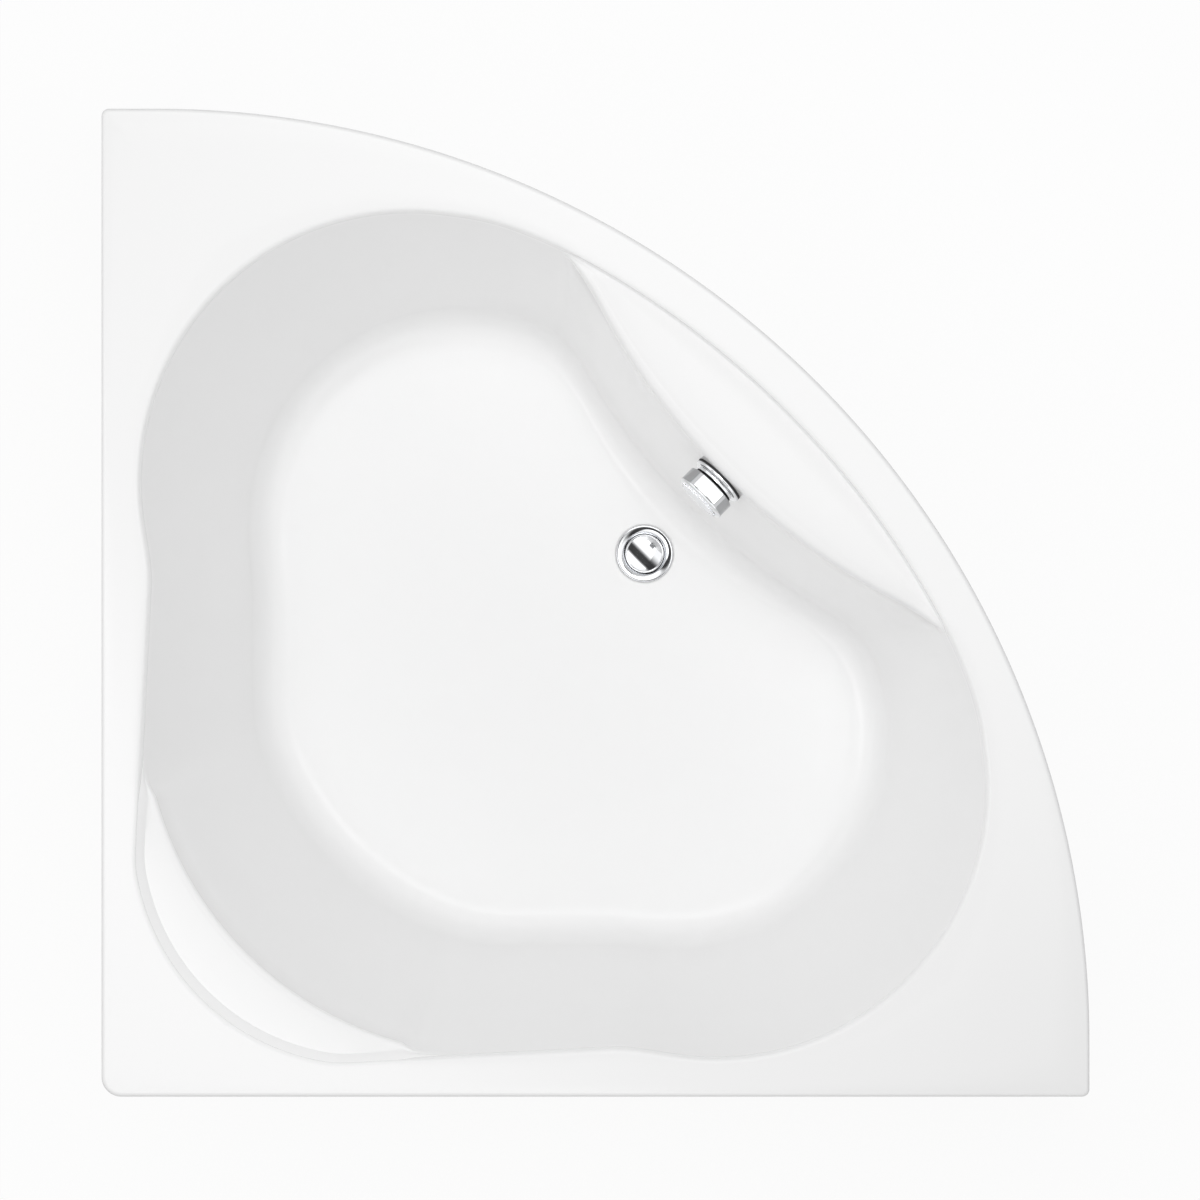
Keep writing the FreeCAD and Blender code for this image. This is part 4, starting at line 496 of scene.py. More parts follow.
def planed_softwood():
    """Planed spruce: straight grain, rings about 4 mm apart, darker where they end."""
    material, tree, shader, place = new_finish("planed spruce", linear("CDAA78"), 0.6)
    stretch = add_node(tree, "ShaderNodeMapping", {"Vector": place}, Scale=(1.0, 1.0, 6.0))
    rings = add_node(
        tree, "ShaderNodeTexWave", {"Vector": stretch.outputs["Vector"]},
        Scale=per_metre(24), Distortion=6.0, Detail=2.0,
    )
    add_node(
        tree, "ShaderNodeValToRGB", {"Fac": rings.outputs["Fac"]}, shader.inputs["Base Color"],
        ends=("B98F59", "D6B787"),
    )
    return material


FINISHES = {}


def finish(name):
    """The material of a record slot, made once."""
    makers = {
        "acrylic_white": cast_acrylic,
        "panel_white": cast_acrylic,
        "glass_fibre": glass_fibre,
        "board": chipboard,
        "timber": planed_softwood,
        "galvanised": galvanised_sheet,
        "zinc": zinc_plate,
        "foot_plastic": lambda: moulded("moulded black polyamide", "222223", 0.45, 1.2, 0.04),
        "chrome": chrome_plate,
        # painted shade: a darker copy of the chrome, for the knob's shaded flank
        "chrome_painted_shade": lambda: chrome_plate("chrome plate on the knob's flank", 0.6),
        # the seal's rubber, and also the dark of the painted shade on the rosette and the knob
        "rubber": moulded_rubber,
        "waste_plastic": lambda: moulded("moulded white polypropylene", "E2E2DF", 0.38, 1.5, 0.03),
        "hose_plastic": lambda: moulded("extruded grey polyethylene", "8E9092", 0.4, 3.0, 0.03),
        "cable_plastic": lambda: moulded("extruded black sheath", "1F1F21", 0.35, 2.0, 0.02),
        "brass": turned_brass,
        "cap_white": lambda: moulded("moulded white cap", "EDEDEC", 0.3, 1.5, 0.02),
    }
    if name not in FINISHES:
        FINISHES[name] = makers[name]()
    return FINISHES[name]


def wear(piece, *names):
    """Gives a piece its materials, in the order of its faces' indices."""
    piece.data.materials.clear()
    for name in names:
        piece.data.materials.append(finish(name))


# ---- modelling helpers ------------------------------------------------------------------------------------
MERGE_GAP = 1e-6                # metres between points that are one
POLE_RADIUS = 1e-5              # of a profile's ring on its axis, since a ring of none can't be scaled up again
POLE_GAP = 3e-5                 # closes such a ring to a point


def clear_selection():
    if bpy.context.object and bpy.context.object.mode != "OBJECT":
        bpy.ops.object.mode_set(mode="OBJECT")
    bpy.ops.object.select_all(action="DESELECT")


def select_only(piece):
    clear_selection()
    piece.select_set(True)
    bpy.context.view_layer.objects.active = piece


def apply_modifier(piece, kind, **settings):
    """Adds a modifier with its settings and applies it."""
    select_only(piece)
    added = piece.modifiers.new(kind.title(), kind)
    for key, value in settings.items():
        setattr(added, key, value)
    bpy.ops.object.modifier_apply(modifier=added.name)


def close_up(piece, gap=MERGE_GAP, turn_out=True):
    """Merges what meets and, where asked, turns the faces outwards."""
    select_only(piece)
    bpy.ops.object.mode_set(mode="EDIT")
    bpy.ops.mesh.select_all(action="SELECT")
    bpy.ops.mesh.remove_doubles(threshold=gap)
    if turn_out:
        bpy.ops.mesh.normals_make_consistent(inside=False)
    bpy.ops.object.mode_set(mode="OBJECT")


def soften(piece, degrees=35.0):
    select_only(piece)
    bpy.ops.object.shade_smooth_by_angle(angle=math.radians(degrees))


def sheet_from(name, columns, rows, place):
    """A grid with each crossing moved to its place, and merged where its ends meet."""
    clear_selection()
    bpy.ops.mesh.primitive_grid_add(x_subdivisions=columns, y_subdivisions=rows, size=2)
    piece = bpy.context.object
    piece.name = piece.data.name = name
    for vertex in piece.data.vertices:
        column = round((vertex.co.x + 1) / 2 * columns)
        row = round((vertex.co.y + 1) / 2 * rows)
        vertex.co = place(column, row)
    close_up(piece)
    return piece


def turned(name, profile, segments=128, closed=False):
    """A piece turned about Z: a circle pulled from one (radius, height) point of its profile to the next."""
    clear_selection()
    radius, height = profile[0]
    start = max(radius, POLE_RADIUS)
    bpy.ops.mesh.primitive_circle_add(
        vertices=segments, radius=start, location=(0, 0, height), fill_type="NOTHING"
    )
    piece = bpy.context.object
    piece.name = piece.data.name = name
    bpy.ops.object.transform_apply(location=True)
    bpy.ops.object.mode_set(mode="EDIT")
    bpy.ops.mesh.select_all(action="SELECT")
    for (r0, z0), (r1, z1) in zip(profile, profile[1:]):
        bpy.ops.mesh.extrude_region_move(TRANSFORM_OT_translate={"value": (0, 0, z1 - z0)})
        factor = max(r1, POLE_RADIUS) / max(r0, POLE_RADIUS)
        bpy.ops.transform.resize(value=(factor, factor, 1), center_override=(0, 0, z1))
    bpy.ops.object.mode_set(mode="OBJECT")
    close_up(piece, MERGE_GAP if closed else POLE_GAP)
    return piece


def settle(piece, placement):
    """Moves a finished piece to its place in the frame and leaves its object at the origin."""
    select_only(piece)
    piece.matrix_world = placement
    bpy.ops.object.transform_apply(location=True, rotation=True, scale=True)


def cylinder(radius, low, high, segments=96):
    """A plain cutter about Z."""
    clear_selection()
    middle = (0, 0, (low + high) / 2)
    bpy.ops.mesh.primitive_cylinder_add(vertices=segments, radius=radius, depth=high - low, location=middle)
    bpy.ops.object.transform_apply(location=True)
    return bpy.context.object


def block(size, middle):
    """A plain block with its sides along the axes."""
    clear_selection()
    bpy.ops.mesh.primitive_cube_add(size=1, location=middle)
    made = bpy.context.object
    made.scale = size
    bpy.ops.object.transform_apply(location=True, scale=True)
    return made


def cut_away(piece, cutter):
    """Cuts a piece with another, which is then gone."""
    apply_modifier(piece, "BOOLEAN", operation="DIFFERENCE", object=cutter, solver="EXACT")
    bpy.data.objects.remove(cutter)


def smooth_copy(node, degrees=35.0):
    """A merged, smoothly shaded copy of a frame node."""
    source = NODES[node]
    piece = bpy.data.objects.new("show_" + node, source.data.copy())
    bpy.context.scene.collection.objects.link(piece)
    close_up(piece, turn_out=False)
    soften(piece, degrees)
    return piece


def stands_for(piece, node):
    """The piece takes the node's place and its body, and the node is hidden."""
    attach(piece, NODES[node]["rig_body"])
    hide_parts(node)


def join(piece, others):
    """Makes the others part of the piece."""
    select_only(piece)
    for other in others:
        other.select_set(True)
    bpy.context.view_layer.objects.active = piece
    bpy.ops.object.join()


def paint_shade_dark(piece, chosen):
    """Gives the faces whose middle is chosen the piece's second material, a dark one as painted shade."""
    for face in piece.data.polygons:
        face.material_index = 1 if chosen(face.center) else 0


def finished(piece, place, node, slot, *others):
    """Settles a turned piece, shades it and lets it stand for its node."""
    indices = [face.material_index for face in piece.data.polygons]
    settle(piece, place)
    soften(piece)
    wear(piece, slot, *others)
    for face, index in zip(piece.data.polygons, indices):
        face.material_index = index if others else 0
    stands_for(piece, node)


SLOTS = {part["node"]: part["material_slot"] for part in frame["record"]["subparts"]}


# ---- shell ------------------------------------------------------------------------------------------------
LEDGE_FALL = 2.0                # of a ledge towards the basin, mm
LEDGE_FILLET = 0.5
BACK_FROM, BACK_TO = math.radians(50), math.radians(100)    # where the front's small edges grow to the rear's
FRONT_STEP_RUN, REAR_STEP_RUN = 0.75, 2.0                   # in walls, as are the next four
FRONT_EDGE_ROUND, REAR_EDGE_ROUND = 4.0, 2.0
NO_LEDGE, FULL_LEDGE = 0.3, 2.0
PLAIN_INSET, PLAIN_DROP = 0.6, 2.4
RIM_DROP = 0.8
RIM_ROUND = 5.0
LIP = 32.0                      # depth of the turned-down lip
LIP_ROUND = 0.6
UNDER_FLOOR = 9.0


def shell_section(angle, shape, edge_point, normal):
    """Closed section of the shell along one angle, from the middle of its floor to the middle of its underside.

    Gives (s, t, z) points in millimetres. The edge point and the normal belong to the rim's outline."""
    top, wall = 1000 * shape.rim_height, 1000 * shape.wall
    step, foot_size, fall = 1000 * shape.step, 1000 * shape.foot, shape.floor_fall
    floor_height = top - 1000 * shape.basin_depth
    side = abs(angle)
    back = smooth_step(side, BACK_FROM, BACK_TO)
    step_run = wall * (FRONT_STEP_RUN + (REAR_STEP_RUN - FRONT_STEP_RUN) * back)
    edge_round = wall * (FRONT_EDGE_ROUND + (REAR_EDGE_ROUND - FRONT_EDGE_ROUND) * back)
    rim, basin = rim_edge(side), basin_edge(side, step_run, wall)
    foot = floor_edge(side) + FLOOR_EDGE_MARGIN

    def level(radius):
        return floor_height - fall * radius * math.cos(side)

    ledge_top = top - step
    ledge_width = rim - step_run - basin
    shelf = smooth_step(ledge_width, NO_LEDGE * wall, FULL_LEDGE * wall)
    round_off = min(edge_round, 0.8 * ledge_width)
    edge_top = ledge_top - LEDGE_FALL
    corner, plain_top = (foot, level(foot)), (rim - PLAIN_INSET * wall, top - PLAIN_DROP * wall)

    def on_wall(radius, height):
        """A point of the ledge's edge, or of the straight wall where there is no ledge."""
        share = (height - corner[1]) / (plain_top[1] - corner[1])
        return blend((corner[0] + (plain_top[0] - corner[0]) * share, height), (radius, height), shelf)

    wall_top = on_wall(basin, edge_top - edge_round)
    ledge_edge = on_wall(basin + round_off, edge_top)
    ledge_end = on_wall(rim - step_run, ledge_top)
    step_top = blend(plain_top, (rim, top - RIM_DROP * wall), shelf)
    run, drop = corner[0] - wall_top[0], corner[1] - wall_top[1]
    share = foot_size / math.hypot(run, drop)
    wall_end = (corner[0] - run * share, corner[1] - drop * share)
    floor_start = (foot - foot_size, level(foot - foot_size))

    radial = [(0.0, level(0.0))]
    radial += [(floor_start[0] * i / 8, level(floor_start[0] * i / 8)) for i in range(1, 8)]
    radial += curve_through(floor_start, corner, wall_end, 14)
    radial += [blend(wall_end, wall_top, i / 10) for i in range(1, 10)]
    radial += curve_through(wall_top, on_wall(basin, edge_top), ledge_edge, 8)
    radial += [blend(ledge_edge, ledge_end, i / 3) for i in range(1, 3)]
    step_pull = (rim - (0.15 + 0.65 * back) * step_run, ledge_top + LEDGE_FILLET + 0.15 * back * step)
    radial += curve_through(ledge_end, on_wall(*step_pull), step_top, 7)
    radial += curve_through(step_top, (rim - 0.1 * wall * (1 - shelf), top), (rim + wall, top), 9)[1:]
    way = (math.cos(angle), math.sin(angle))
    points = [(r * way[0], r * way[1], z) for r, z in radial]

    def at_rim(inset, height):
        return (edge_point[0] - normal[0] * inset, edge_point[1] - normal[1] * inset, height)

    flat_end = at_rim(RIM_ROUND, top)
    points += [blend(points[-1], flat_end, i / 4) for i in range(1, 4)]
    for i in range(7):
        turn = math.pi / 2 * (1 - i / 6)
        points.append(at_rim(RIM_ROUND * (1 - math.cos(turn)), top - RIM_ROUND * (1 - math.sin(turn))))
    lip = top - LIP
    points += [at_rim(0, lip + 1), at_rim(LIP_ROUND, lip), at_rim(wall - LIP_ROUND, lip), at_rim(wall, lip + 1)]
    points += [at_rim(wall, top - wall - 0.5)]
    inner_end = at_rim(wall + 0.5, top - wall)

    outer = [(rim + wall, top - wall)]
    outer.append(blend((rim + wall, ledge_top), (rim + wall - 0.5 * step_run, ledge_top), shelf))
    under_ledge = (max(ledge_edge[0], basin + wall), edge_top - wall)
    outer.append(blend((rim + wall, top - 2 * step), under_ledge, shelf))
    outer += [(wall_top[0] + wall, wall_top[1] - step * (1 - shelf) - 1), (wall_end[0] + wall, wall_end[1])]
    under = floor_height - UNDER_FLOOR
    outer += curve_through(outer[-1], (corner[0] + wall, under), (floor_start[0], under), 6)[1:]
    outer += [(floor_start[0] * i / 3, under) for i in (2, 1, 0)]
    points += [inner_end, blend(inner_end, (outer[0][0] * way[0], outer[0][0] * way[1], outer[0][1]), 0.5)]
    points += [(r * way[0], r * way[1], z) for r, z in outer]
    return points


TRACE_SPACING = 9.0             # mm between the shell's sections, along the rim
HOLE_RADIUS = 26 * MM           # of the waste's hole and the overflow's
CUTTER_UP, CUTTER_DOWN, CUTTER_OUT = 40 * MM, 30 * MM, 10 * MM


class BATH_OT_shell(bpy.types.Operator):
    """Draw the acrylic shell over its mould and cut the flange's seat and the two holes"""
    bl_idname = "bath.shell"
    bl_label = "Acrylic shell"

    def execute(self, context):
        shape = context.scene.bath_shape
        sections = [
            shell_section(math.atan2(point[1], point[0]), shape, point, normal)
            for point, normal in rim_trace(TRACE_SPACING)
        ]
        columns, rows = len(sections), len(sections[0]) - 1
        shell = sheet_from(
            "show_bath_shell", columns, rows,
            lambda column, row: world_point(*sections[column % columns][row]),
        )
        waste = node_middle("waste_flange")
        waste.z = 0
        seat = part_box("waste_flange_seal")[0][2]
        reach = node_size("waste_flange", 0) / 2 + 1.5 * MM
        at_waste, at_overflow = Matrix.Translation(waste), overflow_placement()
        for radius, low, high, place in (
            (reach, seat, seat + CUTTER_UP, at_waste),
            (HOLE_RADIUS, seat - CUTTER_DOWN, seat + CUTTER_UP, at_waste),
            (HOLE_RADIUS, -CUTTER_DOWN, CUTTER_OUT, at_overflow),
        ):
            cutter = cylinder(radius, low, high)
            settle(cutter, place)
            cut_away(shell, cutter)
        soften(shell, 40.0)
        wear(shell, "acrylic_white", "glass_fibre")
        for face in shell.data.polygons:
            face.material_index = 1 if faces_down(face, shape) else 0
        stands_for(shell, "bath_shell")
        return {"FINISHED"}


def faces_down(face, shape):
    """Whether a face of the shell belongs to its glass-fibre back."""
    below_the_rim = shape.rim_height - face.center.z > 1.2 * shape.wall
    return face.normal.z < -0.02 and below_the_rim


def overflow_placement():
    """Place of the overflow, from the joint that turns the knob: Z points out of the basin wall and X up it."""
    joint = next(j for j in frame["joints"] if j["name"] == "knob_turn")
    out = Vector(joint["axis"]).normalized()
    across = Vector((0, 0, 1)).cross(out).normalized()
    up = out.cross(across)
    turn = Matrix((up, out.cross(up), out)).transposed().to_4x4()
    return Matrix.Translation(Vector(joint["pos_m"])) @ turn


# ---- waste ------------------------------------------------------------------------------------------------
CONE_SLOPE = 1.22               # of the flange's seat for the seal: how far out for each millimetre up


class BATH_OT_waste(bpy.types.Operator):
    """Turn the flange, the plug and its seal"""
    bl_idname = "bath.waste"
    bl_label = "Pop-up waste"

    def execute(self, context):
        middle = node_middle("waste_flange")
        middle.z = 0
        place = Matrix.Translation(middle)
        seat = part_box("waste_flange_seal")[1][2]
        self.flange(place, seat)
        self.plug(place, seat)
        self.seal(place)
        return {"FINISHED"}

    def flange(self, place, seat):
        """A crown that rolls over outside and falls gently to the mouth, then the cone, collar and spider."""
        low, high = (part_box("waste_flange")[i][2] for i in (0, 1))
        reach = node_size("waste_flange", 0) / 2
        mouth, bore, collar, crest = 26.2 * MM, 21.5 * MM, 24.6 * MM, 33.1 * MM
        profile = [(reach, seat), (reach, seat + 0.8 * MM)]
        profile += curve_through((reach, seat + 0.8 * MM), (reach, high), (crest, high), 10)[1:]
        fall = 1.0 * MM
        for i in range(1, 11):
            share = i / 10
            profile.append((crest - (crest - mouth - 0.8 * MM) * share, high - fall * share ** 2))
        edge = profile[-1]
        turned_in = (mouth - 0.3 * MM, edge[1] - 0.9 * MM)
        profile += curve_through(edge, (mouth + 0.2 * MM, edge[1] - 0.3 * MM), turned_in, 5)[1:]
        profile += [(bore, seat - 1.4 * MM), (bore, low), (collar, low), (collar, seat), (reach, seat)]
        flange = turned("show_waste_flange", profile, closed=True)
        parts = [self.spider_arm(low, bore, turn) for turn in range(4)]
        eye, hub, hub_top = 3.06 * MM, 6.5 * MM, low + 5 * MM
        ring = [(eye, low), (hub, low), (hub, hub_top), (eye, hub_top), (eye, low)]
        parts.append(turned("hub", ring, 48, closed=True))
        join(flange, parts)
        finished(flange, place, "waste_flange", "chrome")

    def plug(self, place, seat):
        """Cap with a low dome inside a bright raised rim, and a skirt that hides the seal."""
        base, top = (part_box("waste_plug")[i][2] for i in (0, 1))
        radius = node_size("waste_plug", 0) / 2
        skirt = seat + 0.9 * MM
        shoulder = top - 2.4 * MM
        profile = [(0, base), (radius - 0.7 * MM, base), (radius - 0.7 * MM, skirt), (radius, skirt)]
        profile.append((radius, shoulder - 1.2 * MM))
        lip_top = (radius - 1.0 * MM, shoulder + 0.1 * MM)
        profile += curve_through(profile[-1], (radius, lip_top[1]), lip_top, 7)[1:]
        dome_edge = radius - 2.3 * MM
        profile += curve_through(
            (radius - 1.4 * MM, shoulder), (radius - 1.9 * MM, shoulder - 0.1 * MM),
            (dome_edge, shoulder - 0.5 * MM), 5,
        )
        rise = top - shoulder + 0.3 * MM
        for i in range(0, 21):
            out = (dome_edge - 0.2 * MM) * (1 - i / 20)
            profile.append((out, top - rise * (out / dome_edge) ** 2))
        finished(turned("show_waste_plug", profile), place, "waste_plug", "chrome")

    def seal(self, place):
        """Rubber ring inside the plug's skirt."""
        low, high = (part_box("plug_seal")[i][2] for i in (0, 1))
        stem, edge = 3.05 * MM, node_size("waste_plug", 0) / 2 - 0.9 * MM
        foot = 20.6 * MM
        cone_top = low + (edge - foot) / CONE_SLOPE
        profile = [(stem, low), (foot, low), (edge, cone_top), (edge, high), (stem, high), (stem, low)]
        finished(turned("show_plug_seal", profile, 96, closed=True), place, "plug_seal", "rubber")

    @staticmethod
    def spider_arm(low, bore, turn):
        """One arm of the spider, from the hub to the collar."""
        length, width, height, start = bore - 5 * MM, 3.4 * MM, 5 * MM, 5.2 * MM
        arm = block((length, width, height), (start + length / 2, 0, low + height / 2))
        apply_modifier(arm, "BEVEL", width=0.5 * MM, segments=2)
        settle(arm, Matrix.Rotation(math.radians(90 * turn), 4, "Z"))
        return arm


# ---- overflow ---------------------------------------------------------------------------------------------
class BATH_OT_overflow(bpy.types.Operator):
    """Turn the rosette and the knob and cut the knob's thumb recess"""
    bl_idname = "bath.overflow"
    bl_label = "Overflow and knob"

    def execute(self, context):
        place = overflow_placement()
        self.rosette(place)
        self.knob(place)
        return {"FINISHED"}

    @staticmethod
    def rosette(place):
        """A rounded plate with a neck towards the knob and six holes for the water."""
        rim, neck = 34.0 * MM, 27.3 * MM
        profile = [(0, -2 * MM), (rim, -2 * MM), (rim, 1.2 * MM), (rim, 2.4 * MM)]
        profile += curve_through((rim, 2.4 * MM), (rim, 4.6 * MM), (rim - 3 * MM, 4.9 * MM), 6)[1:]
        profile += [(neck + 1.2 * MM, 5 * MM)]
        profile += curve_through((neck + 1.2 * MM, 5 * MM), (neck, 5 * MM), (neck, 6 * MM), 4)[1:]
        profile += [(neck, 8.6 * MM), (neck, 9.1 * MM), (neck - 0.4 * MM, 9.5 * MM), (0, 9.5 * MM)]
        rosette = turned("show_overflow_rosette", profile)
        through = (-10 * MM, 20 * MM)
        for i in range(6):
            turn, ring = math.radians(60 * i), 20 * MM
            hole = cylinder(4 * MM, *through, 32)
            settle(hole, Matrix.Translation((ring * math.cos(turn), ring * math.sin(turn), 0)))
            cut_away(rosette, hole)
        cut_away(rosette, cylinder(4.06 * MM, *through, 32))
        # Painted shade: the neck's front face and the plate's edge at the wall take the dark rubber, for the
        # shadow in the gap before the knob and along the wall.
        paint_shade_dark(rosette, lambda at: at.z > 8.6 * MM or at.z < 1.2 * MM)
        finished(rosette, place, "overflow_rosette", "chrome", "rubber")

    @staticmethod
    def knob(place):
        """A hollow knob with a dished front, and a thumb recess in its flank with a tapered pointer in it."""
        back, front, radius = 12.5 * MM, 34.5 * MM, 33.0 * MM
        bore, boss, hollow, hollow_end = 4 * MM, 8 * MM, 25.5 * MM, back + 8 * MM
        profile = [(bore, back), (boss, back), (boss, hollow_end), (hollow, hollow_end), (hollow, back)]
        profile += [(radius - 1.0 * MM, back)]
        profile += curve_through((radius - 1.0 * MM, back), (radius, back), (radius, back + 1 * MM), 4)[1:]
        profile += [(radius, front - 4 * MM)]
        shoulder, dish = (radius - 3.2 * MM, front - 0.2 * MM), radius - 5.6 * MM
        profile += curve_through((radius, front - 4 * MM), (radius, front - 1.2 * MM), shoulder, 6)[1:]
        profile += curve_through(shoulder, (radius - 4.2 * MM, front), (dish, front), 4)[1:]
        for i in range(1, 9):
            out = dish * (1 - i / 8)
            profile.append((out, front - 2 * MM * (1 - (out / dish) ** 2)))
        profile += [(0, back + 12 * MM), (bore, back + 12 * MM), (bore, back)]
        knob = turned("show_overflow_knob", profile, 160, closed=True)

        width, length, floor, deep = 34 * MM, 16 * MM, 28.5 * MM, 8 * MM
        middle = back + 1.2 * MM + length / 2
        recess = block((deep, width, length), (floor + deep / 2, 0, middle))
        pointer_wide, pointer_narrow, pointer_high, lean = 13, 4, 2.2 * MM, 1.1 * MM
        pointer_place = (floor - 1 * MM + pointer_high / 2, 0, middle + 1 * MM)
        pointer = block((pointer_high, pointer_wide * MM, length), pointer_place)
        for vertex in pointer.data.vertices:
            if vertex.co.z < middle:
                vertex.co.y *= pointer_narrow / pointer_wide
            if vertex.co.x > floor:
                vertex.co.y -= math.copysign(lean, vertex.co.y)
        cut_away(recess, pointer)
        cut_away(knob, recess)

        # Painted shade: the knob's hollow back takes the dark rubber, for the shadow in the gap behind the
        # knob.
        paint_shade_dark(knob, lambda at: at.z < hollow_end + 0.1 * MM and math.hypot(at.x, at.y) < 29 * MM)
        # Painted shade: the knob's round flank and the pointer's sides take a darker copy of the chrome, for
        # the shade on its sides.
        for face in knob.data.polygons:
            at = face.center
            on_flank = math.hypot(at.x, at.y) > radius - 0.2 * MM
            on_pointer = at.x > floor and abs(at.y) < 7 * MM and abs(face.normal.y) > 0.5
            if on_flank or on_pointer:
                face.material_index = 2
        finished(knob, place, "overflow_knob", "chrome", "rubber", "chrome_painted_shade")
        apply_modifier(knob, "WEIGHTED_NORMAL", weight=60, keep_sharp=True)


# ---- panel ------------------------------------------------------------------------------------------------
class BATH_OT_panel(bpy.types.Operator):
    """Copy the front panel behind the lip, shade it smoothly and give it its finish"""
    bl_idname = "bath.panel"
    bl_label = "Front panel"

    def execute(self, context):
        panel = smooth_copy("front_panel", 30.0)
        wear(panel, "panel_white")
        stands_for(panel, "front_panel")
        return {"FINISHED"}


# ---- what carries the bath, and its pipes -----------------------------------------------------------------
OWN_OPERATOR = {
    "bath_shell", "waste_flange", "waste_plug", "plug_seal", "overflow_rosette", "overflow_knob", "front_panel",
}


class BATH_OT_underside(bpy.types.Operator):
    """Finish the boards, battens, rails, feet, fixings and pipes"""
    bl_idname = "bath.underside"
    bl_label = "Cradle, fixings and pipes"

    def execute(self, context):
        for node, slot in SLOTS.items():
            if node in OWN_OPERATOR:
                continue
            piece = smooth_copy(node)
            wear(piece, slot)
            stands_for(piece, node)
        return {"FINISHED"}


# ---- stage ------------------------------------------------------------------------------------------------
PAPER_GLOW = 0.93               # share of plain white in the paper that the camera and the metal see


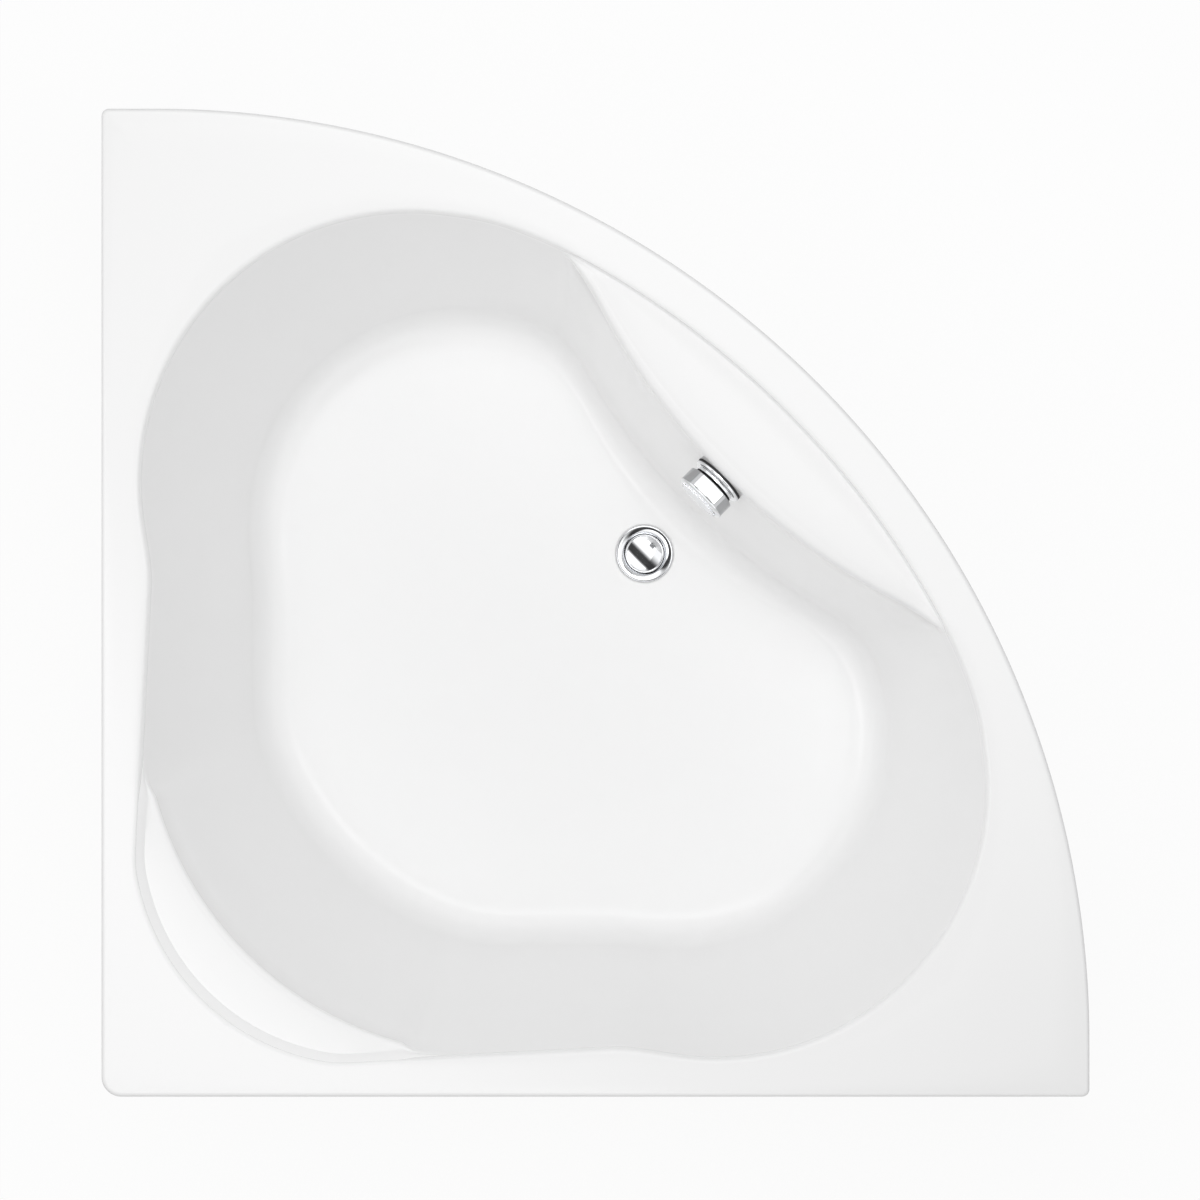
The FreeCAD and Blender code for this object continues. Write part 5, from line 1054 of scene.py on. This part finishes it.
class BATH_OT_stage(bpy.types.Operator):
    """Lay the floor, hang the lamp and the flag and set the camera straight over the bath"""
    bl_idname = "bath.stage"
    bl_label = "Studio"

    def execute(self, context):
        stage = context.scene.bath_stage
        clear_selection()
        bpy.ops.mesh.primitive_plane_add(size=24, location=(0, 0, 0))
        floor = context.object
        floor.name = "studio_floor"
        floor.data.materials.append(self.floor_paint())
        self.light_world(stage.sky)
        self.hang_lamp("overhead", place=(0.2, 0.4, 3.2), aim=(0.0, 0.0, 0.4), size=2.6, power=stage.overhead)
        self.hang_flag()
        self.set_camera(stage.distance)
        return {"FINISHED"}

    @staticmethod
    def floor_paint():
        """Matt white paper: white to the camera and in the metal, a little darker in the bath's shadow."""
        material, tree, shader, place = new_finish("matt white paper", linear("F2F2F2"), 0.9)
        fibre = add_node(tree, "ShaderNodeTexNoise", {"Vector": place}, Scale=per_metre(4), Detail=3.0)
        add_node(
            tree, "ShaderNodeBump", {"Height": fibre.outputs["Fac"]}, shader.inputs["Normal"], Distance=0.1 * MM
        )
        rays = add_node(tree, "ShaderNodeLightPath").outputs
        seen = rays["Is Camera Ray"]
        for kind in ("Is Glossy Ray", "Is Transmission Ray"):
            seen = add_node(tree, "ShaderNodeMath", {0: seen, 1: rays[kind]}, operation="MAXIMUM").outputs[0]
        share = add_node(tree, "ShaderNodeMath", {0: seen}, operation="MULTIPLY")
        share.inputs[1].default_value = PAPER_GLOW
        glow = add_node(tree, "ShaderNodeEmission", Color=(1, 1, 1, 1), Strength=1.0)
        add_node(
            tree, "ShaderNodeMixShader", {0: share.outputs[0], 1: shader.outputs[0], 2: glow.outputs[0]},
            tree.nodes["Material Output"].inputs["Surface"],
        )
        return material

    @staticmethod
    def light_world(strength):
        """Even light of that strength on the bath, and plain white to the camera and in what shines."""
        world = bpy.data.worlds.new("even studio light")
        bpy.context.scene.world = world
        world.use_nodes = True
        tree = world.node_tree
        plain = tree.nodes["Background"]
        plain.inputs["Color"].default_value = (1, 1, 1, 1)
        plain.inputs["Strength"].default_value = strength
        white = add_node(tree, "ShaderNodeBackground", Color=(1, 1, 1, 1), Strength=1.25)
        path = add_node(tree, "ShaderNodeLightPath")
        seen = add_node(
            tree, "ShaderNodeMath", {0: path.outputs["Is Camera Ray"], 1: path.outputs["Is Glossy Ray"]},
            operation="MAXIMUM",
        )
        add_node(
            tree, "ShaderNodeMixShader", {0: seen.outputs[0], 1: plain.outputs[0], 2: white.outputs[0]},
            tree.nodes["World Output"].inputs["Surface"],
        )

    @staticmethod
    def hang_lamp(name, place, aim, size, power):
        data = bpy.data.lights.new(name, "AREA")
        data.shape = "SQUARE"
        data.size = size
        data.energy = power
        lamp = bpy.data.objects.new(name, data)
        bpy.context.scene.collection.objects.link(lamp)
        lamp.visible_camera = False
        lamp.location = place
        lamp.rotation_euler = (Vector(aim) - Vector(place)).to_track_quat("-Z", "Y").to_euler()

    @staticmethod
    def hang_flag():
        """A dark cloth bar under the lamp, towards the room's corner, which only the polished metal shows."""
        clear_selection()
        bpy.ops.mesh.primitive_plane_add(size=1, location=(0, 0, 0))
        flag = bpy.context.object
        flag.name = "studio_flag"
        width, length = 1.4, 3.4
        flag.scale = (width, length, 1.0)
        bpy.ops.object.transform_apply(scale=True)
        flag.matrix_world = Matrix.Translation((-0.137, 0.137, 1.9)) @ Matrix.Rotation(-math.pi / 4, 4, "Z")
        material = bpy.data.materials.new("dark cloth")
        material.use_nodes = True
        tree = material.node_tree
        tree.nodes.remove(tree.nodes["Principled BSDF"])
        place = add_node(tree, "ShaderNodeTexCoord").outputs["Object"]
        apart = add_node(tree, "ShaderNodeSeparateXYZ", {0: place})
        along = add_node(
            tree, "ShaderNodeMapRange", {"Value": apart.outputs["X"]}, From_Min=-width / 2, From_Max=width / 2
        )
        cover = add_node(tree, "ShaderNodeValToRGB", {"Fac": along.outputs["Result"]})
        ramp = cover.color_ramp
        ramp.interpolation = "EASE"
        ramp.elements[0].position, ramp.elements[1].position = 0.2, 0.95
        ramp.elements[0].color = ramp.elements[1].color = (0, 0, 0, 1)
        for position in (0.40, 0.60):
            ramp.elements.new(position).color = (1, 1, 1, 1)
        clear = add_node(tree, "ShaderNodeBsdfTransparent")
        cloth = add_node(tree, "ShaderNodeEmission", Color=(0.05, 0.05, 0.05, 1), Strength=1.0)
        add_node(
            tree, "ShaderNodeMixShader", {0: cover.outputs["Color"], 1: clear.outputs[0], 2: cloth.outputs[0]},
            tree.nodes["Material Output"].inputs["Surface"],
        )
        flag.data.materials.append(material)
        flag.visible_camera = flag.visible_diffuse = flag.visible_shadow = flag.visible_transmission = False

    @staticmethod
    def set_camera(distance):
        """Straight down, with the room's corner at the lower left of the picture, as in the photograph."""
        width = 1.4575          # metres across the picture at the rim
        data = bpy.data.cameras.new("overhead")
        data.sensor_width = 36
        data.lens = 36 * distance / width
        data.clip_end = 2 * distance + 100
        camera = bpy.data.objects.new("overhead_camera", data)
        bpy.context.scene.collection.objects.link(camera)
        camera.matrix_world = Matrix((
            (0, 1, 0, 3.3 * MM),
            (-1, 0, 0, -5.5 * MM),
            (0, 0, 1, distance + bpy.context.scene.bath_shape.rim_height),
            (0, 0, 0, 1),
        ))
        bpy.context.scene.camera = camera


class BATH_PT_pieces(bpy.types.Panel):
    """Lists the pieces of the bath"""
    bl_idname = "BATH_PT_pieces"
    bl_label = "Corner bathtub"
    bl_space_type = "VIEW_3D"
    bl_region_type = "UI"
    bl_category = "Bath"

    def draw(self, context):
        scene = context.scene
        for group in (scene.bath_shape, scene.bath_finish, scene.bath_stage):
            for key in group.__annotations__:
                self.layout.prop(group, key)
        for operator in OPERATORS:
            self.layout.operator(operator.bl_idname)


GROUPS = {"bath_shape": BathShape, "bath_finish": BathFinish, "bath_stage": BathStage}
OPERATORS = (BATH_OT_shell, BATH_OT_waste, BATH_OT_overflow, BATH_OT_panel, BATH_OT_underside, BATH_OT_stage)


def register():
    for kind in (*GROUPS.values(), *OPERATORS, BATH_PT_pieces):
        bpy.utils.register_class(kind)
    for name, kind in GROUPS.items():
        setattr(bpy.types.Scene, name, bpy.props.PointerProperty(type=kind))


def unregister():
    for name in GROUPS:
        delattr(bpy.types.Scene, name)
    for kind in (BATH_PT_pieces, *reversed(OPERATORS), *reversed(list(GROUPS.values()))):
        bpy.utils.unregister_class(kind)


def main():
    view = bpy.context.scene.view_settings
    view.view_transform = "Standard"
    register()
    for operator in OPERATORS:
        getattr(bpy.ops.bath, operator.bl_idname.split(".")[1])()
    clear_selection()


if __name__ == "__main__":
    main()
